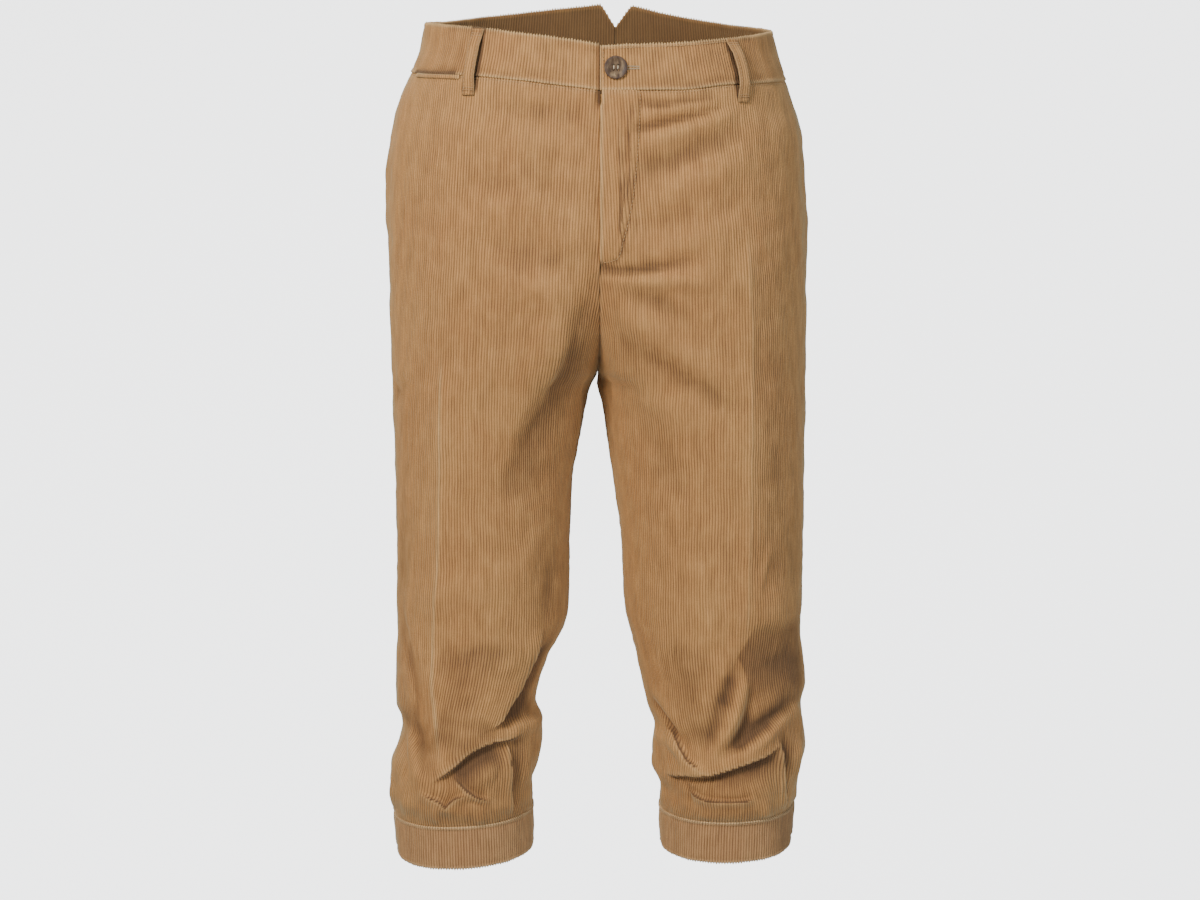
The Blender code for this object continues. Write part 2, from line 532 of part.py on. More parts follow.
def button(name, side, a, z, stand, size, thick):
    """Sew-through button with a raised rim and four holes; stand is the height of its back."""
    p, n = [v[0] for v in HALF[side].read(np.array([a]), np.array([z]))]
    right = np.cross([0, 0, 1.0], n)
    right /= np.linalg.norm(right)
    up = np.cross(n, right)
    r = size / 2
    profile = [(r * 0.86, 0.0), (r, thick * 0.45), (r * 0.97, thick * 0.9), (r * 0.88, thick),
               (r * 0.74, thick * 0.86), (r * 0.6, thick * 0.72)]
    g = np.linspace(0, 2 * np.pi, BUTTON_SIDES, endpoint=False)[:, None]
    round_way = right * np.cos(g) + up * np.sin(g)
    centre = p + n * stand
    verts = np.concatenate([centre + n * h + radius * round_way for radius, h in profile])
    faces = [list(range(BUTTON_SIDES))[::-1]]
    for i in range(len(profile) - 1):
        for k in range(BUTTON_SIDES):
            m = (k + 1) % BUTTON_SIDES
            low, high = i * BUTTON_SIDES, (i + 1) * BUTTON_SIDES
            faces.append([low + k, low + m, high + m, high + k])
    faces.append([(len(profile) - 1) * BUTTON_SIDES + k for k in range(BUTTON_SIDES)])
    obj = finish(name, new_mesh(name, verts, faces), HORN, 0.35)
    turn = mathutils.Matrix(np.array([right, up, n]).T.tolist()).to_euler()
    for k in range(4):
        g = np.pi / 4 + k * np.pi / 2
        spot = centre + size * 0.105 * (right * np.cos(g) + up * np.sin(g))
        bpy.ops.mesh.primitive_cylinder_add(vertices=10, radius=size * 0.045 * MM, depth=thick * 4 * MM,
                                            location=tuple(spot * MM), rotation=turn)
        cutter = bpy.context.object
        cutter.name = "%s_hole_cutter_%d" % (name, k + 1)
        cutter.hide_render = True
        cutter.display_type = "WIRE"
        hole = obj.modifiers.new("hole_%d" % (k + 1), "BOOLEAN")
        hole.operation = "DIFFERENCE"
        hole.solver = "EXACT"
        hole.object = cutter


def fly_underlap():
    """Strip from just inside the right front to the fly stitching, behind both fronts."""
    z = np.linspace(-40, -186, 10)[:, None] + np.zeros((1, 7))
    share = np.where(z < FLY_TURN_Z, np.maximum(fly_line(z) / FLY_WIDTH, 0.25), 1.0)
    e = np.array([-7, -3.5, -0.5, 5, 14, 23, 31])[None, :] * share
    halves = [HALF[RIGHT], HALF[LEFT]]
    at = [h.edge("lo", z) + abs(e) for h in halves]
    folds = np.minimum(*[relief(h, a, z) for h, a in zip(halves, at)])
    reads = [h.read(a, z) for h, a in zip(halves, at)]
    p, n = [np.where((e < 0)[..., None], r, l) for r, l in zip(*reads)]
    outer = p + n * (folds - WALL - 1.1)[..., None]
    slab("fly_underlap", outer, outer - n * UNDERLAP_WALL, CORD, 0.9)


def coin_pocket_welt():
    """Welt just under the waist seam of the right front."""
    half = HALF[RIGHT]
    a = np.linspace(*WELT, 9)[None, :] + np.zeros((3, 1))
    lo, hi = half.edge("lo", a * 0 - 30), half.edge("hi", a * 0 - 30)
    seam = waist_height(RIGHT, (a - lo) / (hi - lo), False)
    z = seam - np.array([0.8, 3.0, 5.4])[:, None]
    p, n = half.read(a, z)
    inner = p + n * (relief(half, a, z) + SEAM)[..., None]
    slab("coin_pocket_welt", inner + n * WELT_WALL, inner, CORD, 0.9)


for side, end in ((RIGHT, "right"), (LEFT, "left")):
    panel("front_" + end, side, "front", 21)
    panel("back_" + end, side, "back", 19)
    waistband("waistband_" + end, side, 20, 4)
    knee_band("knee_band_" + end, side, 30, 3)
    mid = np.array(KNEE[side][:2]).mean()
    lap = float(HALF[side].edge("out", mid)) + KNEE_LAP_AT + KNEE_LAP / 2
    button("knee_button_" + end, side, lap, mid, BAND_PROUD + BAND_WALL + 2 * SEAM, KNEE_BUTTON_D, 2.8)
fly_underlap()
coin_pocket_welt()
belt_loop("belt_loop_front_right", RIGHT, [(0.231, 15.0), (0.231, -12.0), (0.226, -40.0)])
belt_loop("belt_loop_front_left", LEFT, [(0.272, 6.5), (0.292, -21.0), (0.272, -46.0)])
belt_loop("belt_loop_back_right", RIGHT, [(0.72, 21.0), (0.72, -10.0), (0.72, -43.0)])
belt_loop("belt_loop_back_left", LEFT, [(0.70, 13.5), (0.70, -16.0), (0.70, -48.0)])
front_edge = float(HALF[LEFT].edge("lo", BUTTON_Z))
button("waist_button", LEFT, front_edge + BUTTON_IN, BUTTON_Z, BAND_PROUD + SEAM, BUTTON_D, 3.2)
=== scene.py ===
"""Looks of the corduroy knee breeches.  Lengths in the tables are millimetres."""

import bmesh
import bpy
import numpy as np
from mathutils import Matrix, Vector


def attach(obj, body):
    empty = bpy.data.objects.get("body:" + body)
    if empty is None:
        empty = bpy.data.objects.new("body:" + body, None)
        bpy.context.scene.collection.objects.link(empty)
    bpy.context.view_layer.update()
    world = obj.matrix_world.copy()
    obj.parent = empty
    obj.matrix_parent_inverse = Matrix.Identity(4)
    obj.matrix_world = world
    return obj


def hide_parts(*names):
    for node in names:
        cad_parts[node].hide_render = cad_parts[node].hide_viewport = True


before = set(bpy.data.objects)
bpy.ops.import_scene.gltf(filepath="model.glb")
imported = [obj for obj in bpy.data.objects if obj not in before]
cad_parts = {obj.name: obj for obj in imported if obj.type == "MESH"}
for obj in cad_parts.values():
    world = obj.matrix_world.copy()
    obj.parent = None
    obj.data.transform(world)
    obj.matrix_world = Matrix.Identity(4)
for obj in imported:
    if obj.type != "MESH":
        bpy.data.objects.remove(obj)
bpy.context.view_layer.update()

# ---------------------------------------------------------------- sizes (mm)
MM = 0.001
RIGHT, LEFT = -1, 1
SIDES = ((RIGHT, "right"), (LEFT, "left"))
FORK_Z = -290.0         # fork, where the four panels meet
WALL = 1.9
BAND_WALL = 2.7         # waistband and knee bands, folded double and pressed
BAND_PROUD = 0.45       # bands stand this far out from the panels
FLY_WIDTH = 34.0
FLY_END_Z = -183.0
FLY_TURN_Z = -132.0     # the fly stitching starts to curve here
FLY_LIFT = 1.2
LAP = 32.0              # underlap of the waistband
SINK = 3.2              # depth of that underlap
NOTCH = {RIGHT: 13.5, LEFT: 16.0}       # half widths of the centre back notch
NOTCH_Z = 14.0
LOOP_WIDE = 11.5
LOOP_GAP = 3.4
LOOP_WALL = 2.0
LOOP_GIRTH = 400.0      # half the girth where the belt loops are
# belt loops: name, side, centre line from top to bottom as (share of the half girth, height)
BELT_LOOPS = [
    ("belt_loop_front_right", RIGHT, [(0.231, 15.0), (0.231, -12.0), (0.226, -40.0)]),
    ("belt_loop_front_left", LEFT, [(0.268, 6.5), (0.274, -18.0), (0.267, -46.0)]),
    ("belt_loop_back_right", RIGHT, [(0.72, 21.0), (0.72, -10.0), (0.72, -43.0)]),
    ("belt_loop_back_left", LEFT, [(0.70, 13.5), (0.70, -16.0), (0.70, -48.0)])]
BUTTON_D = 19.4
BUTTON_IN = 13.2        # waist button, in from the edge of the left waistband
BUTTON_Z = -16.5
KNEE_BUTTON_D = 15.0
KNEE_LAP = 34.0         # overlap of each knee band
KNEE_LAP_AT = 12.0      # the lap starts this far behind the outseam
UNDERLAP_WALL = 1.6
WELT = (31.0, 96.0)     # ends of the coin pocket welt, from the grain line
CLEAR = 0.3             # pieces that touch lie this far apart
SAMPLES = 401           # points kept along each section
TOP_Z, LOW_Z = 45.0, -738.0     # heights that the sections cover
SECTION_STEP = 3.0
CURVE_POINTS = 40       # points on each of a section's four curves
ROUNDNESS = 0.58        # length of the curves' handles, in shares of their width and depth
SEAM_GAP = 0.2          # each half stops this far from the centre seams
PANEL_TOP, PANEL_LOW = -31.0, -689.0    # ends of a panel's rows, before they are fitted to its seams
FITTED_TOP, FITTED_LOW = -90.0, -640.0  # beyond these heights the rows bend to the seams
FITTING_ROUNDS = 3
WAIST_Z = -10.0         # height at which places along the waistband are measured
SEAM_Z = -30.0          # and along the waist seam
NOTCH_TOP_Z = 34.5      # the notch is as wide as NOTCH says here
NOTCH_ROUND = 1.6
BAND_HEIGHT = 40        # a band's usual height, for what runs up and down it
BAND_END_ROUND = 1.6
LAP_STEP = 9            # a knee band rises onto its own start over this length
HEM_ROUND = 1.8         # rounding of the fly's folded edge
FLY_OPEN_Z = -50.0      # the fly stands open down to here
TAPE_LIFT = 0.5         # the zip tape behind the fly lifts it this much
NO_SEAM = 40            # takes the fly's edge out of reach of the seam dip
SHADE_DEPTH = 9         # full shade darkens the pile as much as a hollow this deep
BAND_SHADE_DEPTH = 7    # the same on the bands
# paleness along the pressed creases: worn pile and a painted highlight
PRESS_WEAR_AND_HIGHLIGHT = {RIGHT: 0.65, LEFT: 0.25}
SLIVER = 0.1            # a cord column nearer than this to the end of a band is left out
LOOP_COLUMNS = 19
LOOP_SEAM_COLUMNS = (3, 15)
LOOP_TACK_ROWS = (2, 3, -4, -3)
WELT_ROWS = 7
UNDERLAP_Z = (-38, -186)
UNDERLAP_ACROSS = (-8, 31)      # from the centre front, towards the left
KNEE_STITCH_AT = (0.945, 0.05)  # the rows on a knee band, in shares of its height
FOLD_REACH = 3          # a fold is felt within this many of its widths
GATHER_END = -700
FAR_OFF = 1e9
NO_GIRTH = 1e5          # above the fork a fold doesn't come round the leg
WALE = 2.54             # ten cords to the inch
WALE_HEIGHT = 0.95
EDGE_BEAD = 3.0         # the cord ends stand up this far along a folded edge
# shares of a band's height that its face is drawn at
BAND_FACE = [0.02, 0.045, 0.07, 0.095, 0.12, 0.16, 0.26, 0.4, 0.55, 0.7, 0.83, 0.875, 0.905, 0.935,
             0.96, 0.98]
# lines across a doubled band's face: share of its height from the sewn edge, rise, half width
BAND_LINES = [(0.0, 0.55, 0.045), (0.105, -0.4, 0.03), (0.91, -0.3, 0.025)]
EDGE_ROWS = (0.8, 1.8, 3.2)     # a panel's mesh rows next to its seams
LAST_ROW_ROOM = 6.0
# mesh rows of a panel: down to this height, this far apart
ROW_STEPS = [(-226, 4.2), (-500, 8.0), (-580, 3.0), (-655, 1.8), (-668, 1.3), (-800, 1.8)]
# unevenness of worn cloth: length of the wave, its direction in degrees, start, height
RIPPLES = [
    (61, 12, 0.4, 0.24), (43, 71, 2.1, 0.22), (29, -38, 4.0, 0.16), (19, 54, 1.2, 0.1), (37, -8, 5.2, 0.16),
    (83, 90, 0.9, 0.26), (13, 21, 3.3, 0.06), (24, 98, 2.7, 0.12), (17, -70, 5.9, 0.08)]
# one cord across: place within its pitch, height
WALE_PROFILE = [(0.0, 0.0), (0.24, 0.66), (0.5, 1.0), (0.76, 0.66)]
BAND_SHADE = {RIGHT: 0.0, LEFT: 0.42}   # how much darker the outer ends of the knee bands are
SEAM_DIP = 1.5          # the cloth rolls in this far at a seam
SEAM_ROLL = 2.2         # over this width
TUCK = 2.4              # cloth that runs on behind the bands
SEAM_STITCH = 1.5       # the waist seam is stitched this far below the band
FLY_GAP = 1.6           # the fly stands open this far under the waistband
FLY_TAPE = 20.0         # width of the stiff zip tape behind the fly
# fly stitching: distance from the grain line, height
FLY_SEAM = [(-59, -38), (-61, -60), (-64, -85), (-67, -106), (-70.5, -126), (-75.5, -147), (-79.5, -160),
            (-84, -174), (-90, -178), (-102, -181)]
STITCH = 2.3            # length of one stitch
STITCH_PITCH = 3.0
THREAD = 0.34           # half the width of the thread
THREAD_SIDES = 5
HOLE_STITCHES = 15      # along each side of the buttonhole
HOLE_FROM = 8.4         # it starts this far from the middle of the button
HOLE_PITCH = 0.8
# one stitch: place along it, rise and girth, both in thread widths
STITCH_FORM = [(-1.0, -0.9, 0.5), (-0.5, 0.1, 0.95), (0.0, 0.35, 1.0), (0.5, 0.1, 0.95), (1.0, -0.9, 0.5)]
# face of a button, from its edge inwards: inset in radii, rise
BUTTON_FACE = [(0.16, 0.0), (0.1, -0.35), (0.14, -0.35), (0.2, 0.0)]
HOLE_SPREAD = 0.088     # a button's holes, in shares of its width: off its middle both ways
HOLE_RADIUS = 0.058
SHARP_ANGLE = 0.6
# sockets of a colour mix node
MIX_FACTOR, MIX_A, MIX_B, MIX_RESULT = 0, 6, 7, 2
# the corduroy's tones: its cords; the ground between them, also used for painted shade; paler patches, also
# used for painted light; worn pile, also used for painted highlights
CORDUROY_TONES = ("Cord", "GrooveAndShade", "Pale", "RubbedAndHighlight")
# horn: place on the colour ramp, colour
HORN_TONES = [(0.36, (0.05, 0.026, 0.013)), (0.47, (0.11, 0.065, 0.034)), (0.57, (0.2, 0.125, 0.066)),
              (0.68, (0.36, 0.245, 0.13))]
FLOOR_Z = -1.25         # metres, as are the lamps' places
FLOOR_GLOW = 3.12
WARM, COOL = (1, 0.98, 0.94), (0.8, 0.91, 1.0)
# lamps: name, place, size, power, colour
LAMPS = [
    ("key", (-1.08, -2.0, 1.1), 0.75, 66, WARM), ("fill", (2.2, -2.2, 0.5), 1.8, 43, COOL),
    ("top", (-0.2, -0.4, 1.9), 1.0, 8, COOL), ("back", (-0.9, 2.5, 1.5), 1.4, 52, COOL)]

# outseam: height, x of the right leg, x of the left leg, y
OUTSEAM = [
    (45, -151, 147, 2), (0, -156, 153, 2), (-25, -166, 161, 2), (-48, -176, 168, 2),
    (-80, -183, 177, 1), (-120, -187, 179, 0), (-180, -187, 182, 0),
    (-250, -186, 183, 0), (-340, -184, 183, 0), (-440, -183, 183, 0),
    (-520, -183, 181, 0), (-570, -185, 186, 0), (-592, -185, 182, 0),
    (-609, -180, 185, 0), (-628, -183, 187, 0), (-647, -189, 182, 0),
    (-666, -191, 177, 0), (-690, -188, 176, 0), (-735, -185, 174, 0)]
# front: height, x of the grain line right and left, y of the foremost line, its share of that x
FRONT = [
    (45, -88, 84, -104, 0.5), (0, -90, 88, -113, 0.52), (-40, -92, 92, -120, 0.55),
    (-100, -96, 96, -126, 0.6), (-180, -100, 100, -127, 0.7), (-250, -103, 102, -119, 0.85),
    (-340, -105, 104, -106, 1), (-440, -106, 105, -95, 1), (-520, -108, 106, -86, 1),
    (-590, -120, 112, -82, 1), (-640, -124, 116, -84, 1), (-670, -126, 117, -80, 1),
    (-692, -125, 116, -67, 1), (-735, -124, 115, -64, 1)]
# back: height, x of the rearmost line right and left, y
BACK = [
    (45, -42, 60, 110), (0, -46, 64, 117), (-40, -54, 70, 124), (-100, -76, 86, 137),
    (-180, -92, 98, 145), (-250, -100, 103, 135), (-340, -106, 104, 113),
    (-440, -107, 106, 98), (-520, -109, 107, 88), (-590, -121, 113, 84),
    (-640, -124, 116, 86), (-670, -126, 117, 82), (-692, -125, 116, 69),
    (-735, -124, 115, 66)]
# rise: height, front x, front y, back x, back y, turn at the front, turn at the back (degrees)
RISE = [
    (45, 0, -106, 14, 111, 0, 0), (0, 0, -115, 14, 118, 0, 0), (-40, 0, -121, 13, 124, 0, 0),
    (-100, 0, -126, 11, 135, 2, 4), (-160, 0, -123, 7, 135, 10, 14),
    (-210, 0, -109, 4, 119, 30, 34), (-250, 0, -82, 1, 92, 58, 60),
    (-275, -1, -48, 0, 60, 78, 80), (-286, -2, -20, -1, 32, 88, 88),
    (-290, -2, 4, -2, 4, 90, 90)]
# inseam: height, x of the right leg, x of the left leg, y
INSEAM = [
    (-290, -2.15, -1.85, 4), (-300, -8, -2.5, 4), (-315, -12.5, 2, 3), (-350, -19, 7, 2),
    (-387, -25, 12.5, 1), (-424, -27, 18, 0), (-500, -29, 23, 0), (-520, -33, 27, 0),
    (-553, -50, 35, 0), (-590, -59, 43, 0), (-610, -53, 50, 0), (-628, -53, 48, 0),
    (-647, -58, 48, 0), (-666, -63, 56, 0), (-690, -61, 54, 0), (-735, -62, 57, 0)]
# waist: share of the way from centre front to centre back, seam right, top right, seam left, top left
WAIST = [
    (0.00, -35.0, 3.5, -35.0, 1.5), (0.07, -31.0, 8.0, -35.0, 3.0), (0.14, -27.0, 12.0, -35.0, 4.0),
    (0.25, -23.5, 17.0, -31.0, 7.0), (0.42, -23.5, 19.0, -30.5, 11.0), (0.60, -25.0, 19.0, -31.0, 13.0),
    (0.72, -27.0, 23.0, -32.0, 15.5), (0.87, -29.0, 30.0, -32.0, 24.5),
    (0.97, -30.0, 35.0, -32.0, 34.5), (1.00, -30.0, 38.0, -32.0, 37.5)]
# knee: side, seam height, lower edge height, rise of both per mm towards the left
KNEE = {RIGHT: (-690.0, -727.0, 0.05), LEFT: (-685.5, -721.5, 0.02)}

# folds of the cloth on each side, the front's first: height, width on the upper or outer flank, width
# on the other flank, points as (distance from the grain line, height), which run outwards or down
FOLDS = {RIGHT: [
    (-2.0, 12, 12, [(-88, -66), (-42, -54), (7, -44)]),
    (1.4, 12, 9, [(-84, -86), (-40, -76), (20, -70)]),
    (-1.1, 20, 20, [(-73, -116), (-18, -109), (41, -102)]),
    (1.2, 16, 14, [(-80, -142), (-20, -136), (50, -128)]),
    (-2.2, 16, 16, [(-90, -184), (-42, -174), (4, -163)]),
    (2.2, 14, 10, [(-86, -201), (-45, -201), (-8, -205)]),
    (-1.8, 9, 9, [(-76, -230), (-34, -226)]),
    (3.4, 22, 8, [(-84, -206), (-70, -226), (-68, -256), (-60, -280), (-42, -302), (-26, -330),
                  (-16, -362)]),
    (-2.8, 8, 24, [(-92, -214), (-86, -244), (-80, -272), (-64, -306), (-46, -336), (-32, -366),
                   (-24, -400)]),
    (2.6, 7, 8, [(-112, -290), (-118, -330), (-112, -372)]),
    (2.6, 12, 4, [(60, -275), (84, -284), (110, -292)]),
    (-2.0, 7, 9, [(74, -292), (100, -300), (118, -306)]),
    (2.6, 17, 14, [(-42, -465), (10, -472), (72, -488)]),
    (-2.6, 15, 15, [(88, -400), (96, -470), (84, -540)]),
    (1.8, 10, 13, [(-70, -404), (-44, -440), (-30, -486)]),
    (2.0, 20, 16, [(-36, -510), (-28, -545), (-16, -575), (-4, -598)]),
    (-6.5, 8, 14, [(-84, -524), (-66, -552), (-56, -573), (-44, -585), (-32, -592)]),
    (-3.0, 12, 18, [(-80, -446), (-73, -478), (-66, -508)]),
    (4.4, 7, 7, [(-108, -606), (-82, -603), (-58, -601), (-38, -603)]),
    (-2.6, 8, 13, [(-36, -618), (-16, -624), (0, -634), (14, -649)]),
    (3.6, 11, 11, [(-34, -641), (-20, -637), (-6, -641)]),
    (-2.0, 8, 8, [(-54, -616), (-60, -645), (-62, -678)]),
    (2.4, 8, 8, [(-74, -626), (-76, -655), (-78, -682)]),
    (-2.0, 3, 3, [(-24, -669), (-16, -665), (-8, -662)]),
    (2.6, 7, 11, [(92, -492), (66, -516), (49, -544), (37, -572), (31, -604)]),
    (-3.0, 9, 6, [(90, -522), (67, -546), (51, -572), (43, -602), (40, -634)]),
    (2.2, 6, 8, [(66, -600), (54, -622), (44, -650)]),
    (2.8, 6, 9, [(74, -545), (52, -574), (36, -604)]),
    (-1.8, 11, 8, [(90, -556), (68, -584), (50, -612)]),
    (-3.4, 9, 6, [(44, -616), (62, -602), (84, -597), (112, -598)]),
    (3.4, 14, 16, [(56, -640), (80, -634), (112, -640)]),
    (3.0, 8, 6, [(64, -592), (48, -628), (34, -652)]),
    (2.2, 12, 12, [(150, -84), (156, -128), (150, -166)]),
    (-5.0, 18, 18, [(300, -330), (380, -306), (440, -262)]),
    (4.0, 16, 12, [(290, -372), (370, -346), (430, -310)]),
    (-4.0, 15, 15, [(286, -396), (350, -388), (424, -352)]),
    (-2.8, 22, 22, [(200, -110), (270, -150), (330, -160)]),
    (5.5, 14, 6, [(176, -553), (230, -571), (292, -563)]),
    (-4.0, 5, 12, [(180, -566), (232, -584), (290, -577)]),
    (-5.0, 13, 12, [(236, -610), (290, -600), (340, -560)]),
    (5.5, 12, 6, [(204, -622), (268, -632), (330, -614)]),
    (-3.6, 4, 8, [(208, -634), (268, -644), (322, -628)]),
    (3.8, 12, 12, [(158, -610), (190, -650), (236, -660)]),
    (-3.6, 8, 7, [(212, -664), (250, -668), (300, -650)])], LEFT: [
    (3.0, 5, 5, [(-62, -57), (-44, -54), (-26, -51), (-9, -48), (14, -43)]),
    (-3.0, 4, 4, [(-64, -44), (-47, -47), (-33, -46), (-9, -42), (10, -38)]),
    (-5.0, 5, 5, [(-70, -69), (-57, -66), (-44, -63), (-27, -59), (-5, -54), (24, -46)]),
    (4.2, 7, 8, [(-62, -79), (-40, -72), (-19, -66), (24, -51)]),
    (-4.0, 9, 11, [(-70, -108), (-50, -98), (-29, -90), (8, -75), (34, -64)]),
    (2.6, 12, 12, [(-62, -126), (-40, -119), (-20, -113), (10, -101), (40, -92)]),
    (-1.5, 11, 11, [(-66, -152), (-30, -142), (20, -128)]),
    (1.8, 12, 12, [(-66, -168), (-20, -160), (24, -150)]),
    (-4.4, 5, 5, [(-116, -183), (-94, -187), (-76, -187), (-58, -185), (-36, -180), (-6, -171)]),
    (4.2, 6, 8, [(-94, -195), (-66, -194), (-34, -194), (0, -198)]),
    (-3.2, 7, 9, [(-88, -202), (-66, -209), (-48, -216), (-24, -232)]),
    (3.0, 11, 12, [(-84, -224), (-40, -252), (0, -288)]),
    (-3.1, 9, 9, [(-108, -236), (-66, -258), (0, -298), (18, -320)]),
    (3.2, 11, 12, [(-106, -270), (-60, -296), (-20, -322)]),
    (-2.2, 12, 12, [(-80, -318), (-50, -350), (-34, -400)]),
    (2.6, 16, 16, [(-30, -440), (-8, -490), (-26, -540)]),
    (1.6, 3, 3, [(48, -432), (40, -452), (34, -470)]),
    (3.6, 24, 9, [(24, -499), (54, -498), (98, -504)]),
    (-2.4, 16, 24, [(30, -530), (54, -538), (82, -546), (112, -550)]),
    (2.8, 6, 16, [(15, -510), (6, -534), (-3, -556), (-13, -580), (-23, -602)]),
    (-3.6, 6, 6, [(13, -533), (4, -556), (-5, -574), (-13, -594), (-20, -614)]),
    (6.4, 6, 5, [(21, -550), (14, -570), (3, -594), (-9, -613), (-20, -630)]),
    (-3.8, 5.5, 6, [(25, -548), (22, -572), (16, -592), (8, -608), (-2, -622)]),
    (-4.0, 9, 5.5, [(-2, -622), (12, -611), (22, -602), (35, -595), (48, -588), (62, -581), (92, -576)]),
    (4.6, 5, 6, [(-12, -631), (4, -621), (19, -614), (34, -606), (51, -597), (72, -592)]),
    (-2.0, 6, 10, [(-50, -650), (-23, -646), (-4, -640), (15, -634), (33, -627), (54, -620)]),
    (-2.2, 2.6, 2.6, [(-42, -647), (-24, -644), (-6, -641)]),
    (-2.4, 3.4, 3.4, [(-47, -646), (-40, -660), (-40, -680)]),
    (4.8, 9, 6, [(-102, -617), (-68, -615), (-50, -621), (-36, -634)]),
    (-4.2, 5, 4, [(-88, -581), (-69, -592), (-58, -604), (-52, -611)]),
    (2.2, 8, 5, [(-80, -568), (-62, -580), (-50, -594), (-42, -607)]),
    (-3.2, 5, 5, [(58, -604), (60, -636), (64, -658), (70, -680)]),
    (3.2, 8, 7, [(78, -616), (80, -640), (86, -668)]),
    (3.2, 6, 8, [(70, -583), (88, -596), (94, -616)]),
    (2.2, 12, 12, [(146, -88), (154, -150), (152, -206)]),
    (-4.6, 18, 18, [(296, -322), (372, -300), (430, -258)]),
    (3.8, 15, 11, [(280, -380), (350, -340), (420, -316)]),
    (-4.2, 16, 14, [(276, -388), (344, -392), (410, -364)]),
    (-3.0, 20, 20, [(210, -96), (262, -130), (322, -150)]),
    (5.2, 14, 6, [(180, -567), (236, -585), (300, -571)]),
    (-3.8, 5, 11, [(184, -580), (236, -598), (296, -584)]),
    (-5.0, 12, 12, [(150, -566), (210, -606), (258, -616)]),
    (5.2, 12, 6, [(216, -630), (282, -626), (344, -602)]),
    (-3.4, 4, 8, [(222, -642), (280, -640), (336, -616)]),
    (3.4, 11, 11, [(170, -622), (204, -650), (262, -664)]),
    (-3.6, 9, 7, [(226, -656), (268, -662), (320, -648)])]}
# folds that hang over the cloth beside them: height, width of the fold, overhang, points that run
# with the fold on their left
LAPS = {RIGHT: [
    (3.5, 19, 2.8, [(-66, -607), (-51, -608), (-35, -607), (-22, -609), (-12, -613), (-3, -619),
                    (5, -627), (13, -634), (20, -641), (31, -651)]),
    (4.8, 16, 2.6, [(-68, -506), (-56, -534), (-49, -560), (-41, -574), (-33, -588), (-24, -600)]),
    (2.9, 6, 1.2, [(40, -655), (27, -661), (18, -664), (11, -669), (6, -664), (0, -659), (-12, -655)]),
    (2.8, 6, 1.2, [(9, -637), (-4, -651), (-10, -656), (-18, -661), (-32, -664)]),
    (2.6, 8, 1.4, [(-42, -606), (-46, -628), (-50, -648), (-53, -670), (-53, -686)])], LEFT: [
    (4.2, 10, 2.8, [(-74, -646), (-61, -643), (-38, -638), (-19, -636), (-1, -630), (18, -624),
                    (38, -619), (54, -613)]),
    (3.0, 8, 1.2, [(-20, -635), (-31, -631), (-38, -627), (-44, -619), (-54, -609), (-76, -598)]),
    (3.4, 4.5, 1.6, [(22, -660), (14, -663), (2, -664), (-12, -664), (-26, -663), (-36, -659),
                     (-48, -655)]),
    (3.2, 7, 1.6, [(65, -684), (60, -668), (55, -649), (52, -629), (49, -604)]),
    (1.5, 3.5, 0.6, [(-71, -48), (-70, -85), (-72, -110), (-76, -136)]),
    (1.5, 3.5, 0.6, [(-79, -50), (-79, -90), (-80, -130), (-83, -164)]),
    (1.4, 3, 0.5, [(-75, -96), (-76, -118), (-79, -140), (-82, -160)])]}
